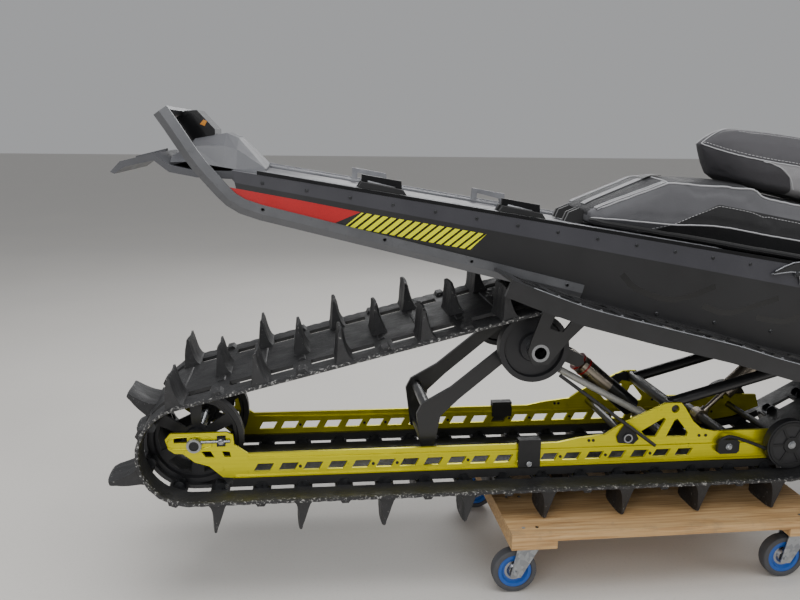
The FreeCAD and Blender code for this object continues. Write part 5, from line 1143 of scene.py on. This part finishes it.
class SNOWMOBILE_OT_pod(bpy.types.Operator):
    """Makes the faceted cover under the seat, its piping, stitches, straps and buckles"""

    bl_idname = "snowmobile.pod"
    bl_label = "Pod cover"

    def execute(self, context):
        sizes = context.scene.snowmobile_soft
        loops = pod_loops()
        form = padded_cover("pod_cover", skin(at(loops)), sizes, 0.5)
        stations, foot, foot_wide, ledge, ledge_wide, shoulder, shoulder_wide, _ = np.array(POD_SECTIONS).T

        def border_at(x):
            return np.interp(x, stations, ledge) + np.interp(x, *PEAKS)

        def below_peak(x, y, z):
            return border_at(x) - z

        def on_top(x, y, z):
            wide = np.interp(x, stations, shoulder_wide) - np.where(x < 1012, 18, 3)
            return np.minimum(wide - np.abs(y), z - np.interp(x, stations, shoulder) + 8)

        mark(form, {"low": below_peak, "top": on_top})
        form.data.materials.append(FINISH["cover_cloth"])
        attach(form, "root")
        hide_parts("rear_bag")
        seams = []
        for corner in (3, 6):
            seams.append(tube(laid_on(form, rounded(loops[1:-1, corner], 8), 0.6), 2.0, 8))
        for corner in (2, 7):
            seams.append(tube(laid_on(form, rounded(loops[:-1, corner], 8), 0.3), 1.6, 8))
        seams.append(tube(laid_on(form, rounded(loops[2, 3:7], 8), 0.4), 1.6, 8))
        x = np.arange(940.0, 1630.0, 15.0)
        wide = np.interp(x, stations, ledge_wide)
        stitches, webs = [], []
        for side in SIDES:
            border = np.stack([x, side * wide, border_at(x)], -1)
            stitches.extend(thread(laid_on(form, border, 0.3)))
            slope = rounded([(862, side * 86, 834), (930, side * 93, 862), (1008, side * 102, 893)], 8)
            webs.append(carried(laid_on(form, slope, 0.4), ribbon(9, 1.4)))
            for edge in (-9, 9):
                seams.append(tube(laid_on(form, slope + (0, edge, 0), 0.8), 1.5, 8))
        strap = rounded([(862, 0, 836), (930, 0, 866), (1004, 0, 897)], 8)
        webs.append(carried(laid_on(form, strap, 0.5), ribbon(12, 1.8)))
        for edge in (-12, 12):
            seams.append(tube(laid_on(form, strap + (0, edge, 0), 1.6), 1.1, 8))
        tab = rounded([(994, 0, 893), (1010, 0, 899), (1034, 0, 899)], 6)
        dark = [carried(laid_on(form, tab, 2.4), ribbon(22, 1.2))]
        buckle = [(806, 803), (814, 822), (838, 832), (850, 824), (848, 798)]
        for y in (-36, 36):
            dark += [slab(buckle, y - 13, y - 6), slab(buckle, y + 6, y + 13)]
            dark.append(tube([(824, y - 12, 816), (824, y + 12, 816)], 5.0, 12))
        for side in SIDES:
            run = np.stack([stations, side * (foot_wide + 8), foot + 8], axis=-1)
            dark.append(tube(laid_on(form, rounded(run, 6), 1.0), 5.0, 8))
        make_piece("pod_webbing", {"cover_web": webs, "strap_web": dark})
        make_piece("pod_stitches", {"thread_grey": stitches})
        make_piece("pod_piping", {"piping_grey": seams})
        return {"FINISHED"}


class SNOWMOBILE_OT_decals(bpy.types.Operator):
    """Makes the red stripe and the hatched band on both sides of the tunnel"""

    bl_idname = "snowmobile.decals"
    bl_label = "Stripes"

    def execute(self, context):
        red = [(84, 887), (215, 863), (338, 839), (288, 818), (190, 842), (107, 861)]
        hatch = [(340, 838), (465, 817), (590, 795), (558, 764), (430, 788), (308, 812)]
        for word, side in (("left", 1), ("right", -1)):
            for name, outline, material in (("stripe", red, "stripe_vinyl"), ("hatch", hatch, "hatch_vinyl")):
                surface = plate(outline, side, 215.05, 215.6)
                make_piece(f"{name}_{word}", {material: [surface]})
        return {"FINISHED"}


class SNOWMOBILE_OT_rail_details(bpy.types.Operator):
    """Makes the rails' ribs, bolts, rings, adjusters, clamp and cable, dark discs as painted shade in their
    holes, the ribs of the wheels at their noses, and the dampers' bands and rods"""

    bl_idname = "snowmobile.rail_details"
    bl_label = "Rail details"

    def execute(self, context):
        face_out, face_in = 131.6, 124.4
        rib = [(102, 306), (254, 301.5), (800, 299), (1280, 298.5)]
        rib += [(1280, 294.5), (800, 295), (254, 297), (102, 301)]
        foot = [(75, 258.3), (1290, 258.3), (1344, 266), (1344, 270), (1290, 262.5), (75, 262.5)]
        # Small holes between the windows and beside the cut-outs, drawn as dark discs: painted shade inside
        # the holes.
        hole_shade_spots = [(161 + 53 * step, 279) for step in (1, 4, 5, 8, 11, 12, 14, 16)]
        hole_shade_spots += [(862, 315), (872, 315), (1124, 318), (1140, 318), (1100, 296), (1316, 318), (1290, 280)]
        slot = [(-60, 330), (-18, 326), (24, 331), (24, 350), (-18, 354), (-60, 350)]
        wedge = [(38, 332), (54, 332), (55, 352), (39, 352)]
        pin = [(-1, 6.5), (3.5, 6.5), (4.2, 5.6), (4.2, 3.2), (2.0, 3.0)]
        block = [(930, 308), (966, 304), (978, 316), (962, 346), (944, 352), (934, 338), (926, 322)]
        ribs, bright, dark = [], [], []
        for side in SIDES:
            ribs += [plate(rib, side, face_out, 135.2), plate(rib, side, face_in, 121.0)]
            ribs.append(plate(foot, side, face_out, 135.5))
            # Dark discs on the outer and inner face of the rail: painted shade standing for the holes.
            dark += heads(hole_shade_spots, side * 131.55, side, 2.6, 0.5)
            dark += heads(hole_shade_spots, side * 124.45, -side, 2.6, 0.5)
            shaft, axle, nose = (951, side * 136.0, 320), (-9, side * 141.5, 337), (1335, side * 160.5, 299)
            bright.append(collar(shaft, side, 5.0, (7, 11), (7.4, 10.5)))
            bright.append(collar(axle, side, 3.0, (10, 15.5), (10.5, 15), 36))
            dark.append(collar(axle, side, 1.2, (0.5, 10), (0.5, 9.8), 36))
            edge = rounded([(x, side * 131.8, z) for x, z in slot], 6, closed=True)
            ribs.append(tube(edge, 1.6, 8, closed=True))
            dark += [plate(wedge, side, 126, 137), plate(block, side, face_out, 136.0)]
            bright.append(tube([(2, side * 134.5, 343), (66, side * 134.5, 343)], 4.0))
            bright += heads([(47, 342)], side * 137, side, 5, 5, corners=6)
            place, outward = struck("slide_shoes", (722, side * 400, 268), (0, -side, 0))
            bright.append(raised(place, outward, pin, 24))
            # Rim, hub and ribs of the wheel at the rail's nose.
            dark.append(collar(nose, side, 2.6, (45, 55), (46, 54), 48))
            dark.append(collar(nose, side, 3.2, (9, 20), (9.5, 19)))
            for along in circle(1.0, 6):
                wide = 3 * np.array([-along[1], along[0]])
                near, far = (1335, 299) + along * 19, (1335, 299) + along * 46
                dark.append(plate([near - wide, far - wide, far + wide, near + wide], side, 160.4, 162.4))
            bright += heads([(1335, 299)], side * 162.6, side, 7, 4, corners=6)
        clamp = [(1166, 280), (1172, 276), (1212, 276), (1218, 282)]
        clamp += [(1218, 304), (1210, 310), (1172, 310), (1166, 304)]
        dark.append(plate(clamp, -1, 133.7, 145.0))
        bright += heads([(1192, 293)], -145, -1, 6, 5, corners=6)
        cable = [(1170, -139, 306), (1192, -146, 318), (1240, -150, 304)]
        cable += [(1290, -150, 284), (1345, -148, 268), (1380, -140, 280)]
        dark.append(tube(rounded(cable, 10), 4.0, 10))
        arch = [(990, 330), (998, 368), (1018, 391), (1046, 397), (1062, 388)]
        arch += [(1057, 370), (1036, 375), (1018, 358), (1010, 330)]
        dark.append(plate(arch, 1, 118, 122.2))
        # Bands, sleeve and rods of the suspension.
        upper, lower = (862, 0, 472), (1038, 0, 323)
        bands = [band_round(upper, lower, first, first + 4, 24.0) for first in (12, 33)]
        steel = [tube([(809, -60, 462), (1021, -60, 345)], 8.0, 16)]
        rods = [tube([(780, -150, 476), (1011, -150, 305)], 4.0), band_round(upper, lower, 112, 196, 23.8)]
        make_piece("rail_ribs", {"rail_yellow": ribs}, bevel=0.4)
        make_piece("rail_bolts", {"bright_steel": bright})
        make_piece("rail_blocks", {"loop_black": dark}, bevel=0.6)
        make_piece("shock_bands", {"band_red": bands})
        make_piece("shock_rods", {"rod_alloy": steel})
        make_piece("thin_rods", {"arm_coat": rods})
        return {"FINISHED"}


class SNOWMOBILE_OT_tunnel_details(bpy.types.Operator):
    """Makes the tunnel's pressed ridges in black as painted shade of their grooves, its rivets, brackets and
    top rails, the anchors' blocks, and the teeth and light edge of each running board"""

    bl_idname = "snowmobile.tunnel_details"
    bl_label = "Tunnel details"

    def execute(self, context):
        tunnel_side = 215.1
        lines = [
            [(879, 711), (914, 679), (995, 655), (1086, 683)],
            [(1060, 642), (1122, 625), (1230, 656)],
            [(1183, 615), (1245, 604), (1282, 616)],
        ]
        bracket = [(1206, 709), (1268, 734), (1274, 684), (1262, 712)]
        upper = [(x, tunnel_top(x) - 14) for x in np.arange(150, 1480, 84.0)]
        lower = [(x, tunnel_top(x) - 150) for x in np.arange(700, 1480, 130.0)]
        on_strip = [(x, 845 - (x - 150) * 163 / 647) for x in (150, 385, 560, 760)]
        # Places ahead and heights of the running board's outer edge.
        board = ([608, 650, 762, 905, 1063, 1195, 1500, 1610], [729, 711, 670, 632, 592, 552, 476, 457])
        ridge_shade, rivets, alloy, dark, teeth = [], [], [], [], []
        for side in SIDES:
            # The pressed ridges are made in glossy black: painted shade, the dark shadow lines along the
            # pressed grooves.
            ridge = [(0, -6), (side * 1.8, -2), (side * 1.8, 2), (0, 6)]
            for line in lines:
                path = rounded([(x, side * tunnel_side, z) for x, z in line], 3)
                ridge_shade.append(carried(path, ridge))
            rivets += heads(upper, side * tunnel_side, side, 2.4, 1.4)
            rivets += heads(lower, side * tunnel_side, side, 3.0, 2.0)
            rivets += heads(on_strip, side * 223.1, side, 2.6, 1.2)
            rivets += heads([(1264, 708)], side * 218.5, side, 5, 4, corners=6)
            dark += [plate(bracket, side, 215.2, 218.5), plate(sloped(150, 1120, 0.2, 2.5), side, 136, 164)]
            rim = rounded([(x, side * 218.5, z) for x, z in bracket], 4, closed=True)
            alloy.append(tube(rim, 1.5, 8, closed=True))
            for near in (136, 147, 160):
                alloy.append(plate(sloped(150, 1120, 0.2, 5.0), side, near, near + 3))
            edge = [(x, side * 362.5, z + 1.6) for x, z in zip(*board)]
            alloy.append(tube(rounded(edge[1:], 6), 1.4, 8))
            for x in np.arange(700, 1560, 42.0):
                z = np.interp(x, *board)
                tooth = [(x - 4, z), (x + 4, z), (x + 1.5, z + 4.5), (x - 1.5, z + 4.5)]
                teeth.append(plate(tooth, side, 355, 357.5))
        for x in (385, 675):
            block = sloped(x - 50, x + 50, 5.0, 17.0)
            block[2:, 0] += (-8, 8)
            dark += [plate(block, -1, 160, 172), plate(block, -1, 128, 140)]
        # Black ridges: painted shade of the grooves on the tunnel side.
        make_piece("tunnel_ridges", {"lamp_black": ridge_shade})
        make_piece("tunnel_rivets", {"clip_steel": rivets})
        make_piece("tunnel_rails", {"anchor_silver": alloy}, bevel=0.5)
        make_piece("anchor_blocks", {"loop_black": dark}, bevel=1.0)
        make_piece("board_teeth", {"anchor_silver": teeth})
        return {"FINISHED"}


class SNOWMOBILE_OT_tail_details(bpy.types.Operator):
    """Makes the tail lamp's red lenses and amber side markers"""

    bl_idname = "snowmobile.tail_details"
    bl_label = "Tail details"

    def execute(self, context):
        rear = [(-26.2, 989), (-26.2, 1013), (-28.0, 1012), (-28.0, 990)]
        under = [(14, 975.6), (48, 982.6), (48, 979.6), (16, 972.6)]
        marker = [(20, 1004), (28, 1013), (35, 1010), (30, 1000)]
        red = [slab(rear, -62, 62), slab(under, -60, 60)]
        amber = [plate(marker, side, 70.2, 71.8) for side in SIDES]
        make_piece("lamp_red", {"lens_red": red}, bevel=0.6)
        make_piece("lamp_amber", {"lens_amber": amber}, bevel=0.4)
        return {"FINISHED"}


class SNOWMOBILE_OT_front_details(bpy.types.Operator):
    """Makes the front springs, gauge, lamp bowls, bulbs and seals, panel studs, grip ribs and deck screws"""

    bl_idname = "snowmobile.front_details"
    bl_label = "Front details"

    def execute(self, context):
        # The gauge lies in two layers on the dash's sloping face, from its foot to its head.
        foot, head = np.array([1776.5, 945.0]), np.array([1850.0, 975.0])
        along = unit(foot, head)
        out = np.array([-along[1], along[0]])

        def layer(below, above, thick, wide):
            low, high = foot + along * below, head - along * above
            return [slab([low, high, high + out * thick, low + out * thick], -wide, wide)]

        gauge = {"loop_black": layer(10, 8, 5, 64), "lamp_black": layer(16, 14, 6, 56)}
        bowl = [(-34, 10), (-26, 22), (-12, 29), (-8, 30), (-9, 27), (-14, 25), (-27, 18), (-31, 8)]
        bulb = [(-30, 7), (-22, 9), (-15, 8), (-12, 4)]
        stud = [(-1, 9), (1.2, 9), (2.2, 8), (2.2, 4.5), (1.0, 4.2)]
        corners = [(2333, 43), (2333, 152), (2492, 152), (2492, 43)]
        studs_at = [
            ("side_panels", 1790, 640),
            ("side_panels", 2010, 600),
            ("side_panels", 2185, 560),
            ("hood", 1975, 790),
            ("hood", 2240, 680),
        ]
        springs, bowls, bulbs, seals, studs, grips = [], [], [], [], [], []
        for side in SIDES:
            springs.append(coil((2262, side * 300, 275), (2262, side * 166, 545), 64, 212, 26.5, 4.0, 8.5))
            for x, y in ((2385, 84), (2448, 96)):
                place, outward = struck("headlamps", (x, side * y, 900), (0, 0, -1))
                bowls.append(raised(place, outward, bowl))
                bulbs.append(raised(place, outward, bulb, 20))
            rim = [struck("hood", (x, side * y, 900), (0, 0, -1))[0] for x, y in corners]
            seals.append(tube(rounded(rim, 5, closed=True), 2.2, 10, closed=True))
            for name, x, z in studs_at:
                place, outward = struck(name, (x, side * 700, z), (0, -side, 0))
                studs.append(raised(place, outward, stud, 28))
            inner = np.array([1672.7, side * 261.3, 1238.5])
            outer = inner + np.array([-0.1415, side * 0.9896, 0.0283]) * 129
            grips.append(band_round(inner, outer, -1, 4, 22.5))
            grips += [band_round(inner, outer, first, first + 5, 18.3) for first in np.arange(10, 118, 9.0)]
        deck_screws = []
        for x in (690, 720, 1328, 1358):
            for y in (-230, -80, 80, 230):
                deck_screws.append(raised((x, y, 160.0), (0, 0, 1), [(0, 4), (0.8, 4)], 12))
        make_piece("front_springs", {"band_red": springs})
        make_piece("gauge", gauge, bevel=1.2)
        make_piece("lamp_bowls", {"bright_steel": bowls})
        make_piece("lamp_bulbs", {"anchor_silver": bulbs})
        make_piece("lamp_seals", {"loop_black": seals})
        make_piece("panel_studs", {"lip_dark": studs})
        make_piece("grip_ribs", {"grip_rubber": grips}, body="handlebar", bevel=0.8)
        make_piece("deck_screws", {"bright_steel": deck_screws})
        return {"FINISHED"}


STEPS = [
    SNOWMOBILE_OT_stage,
    SNOWMOBILE_OT_finishes,
    SNOWMOBILE_OT_track,
    SNOWMOBILE_OT_casters,
    SNOWMOBILE_OT_seat,
    SNOWMOBILE_OT_pod,
    SNOWMOBILE_OT_decals,
    SNOWMOBILE_OT_rail_details,
    SNOWMOBILE_OT_tunnel_details,
    SNOWMOBILE_OT_tail_details,
    SNOWMOBILE_OT_front_details,
]


class SNOWMOBILE_PT_panel(bpy.types.Panel):
    """Lists the pieces"""

    bl_idname = "SNOWMOBILE_PT_panel"
    bl_label = "Snowmobile"
    bl_space_type = "VIEW_3D"
    bl_region_type = "UI"
    bl_category = "Snowmobile"

    def draw(self, context):
        for group in (getattr(context.scene, name) for name, _ in GROUPS):
            for name in group.bl_rna.properties.keys():
                if name not in ("rna_type", "name"):
                    self.layout.prop(group, name)
        for step in STEPS:
            self.layout.operator(step.bl_idname)


GROUPS = [("snowmobile_track", TrackSizes), ("snowmobile_soft", SoftSizes), ("snowmobile_stage", StageLook)]


def register():
    for name, group in GROUPS:
        bpy.utils.register_class(group)
        setattr(bpy.types.Scene, name, bpy.props.PointerProperty(type=group))
    for kind in STEPS + [SNOWMOBILE_PT_panel]:
        bpy.utils.register_class(kind)


def unregister():
    for kind in reversed(STEPS + [SNOWMOBILE_PT_panel]):
        bpy.utils.unregister_class(kind)
    for name, group in reversed(GROUPS):
        delattr(bpy.types.Scene, name)
        bpy.utils.unregister_class(group)


def main():
    register()
    for step in STEPS:
        family, name = step.bl_idname.split(".")
        getattr(getattr(bpy.ops, family), name)()


if __name__ == "__main__":
    main()
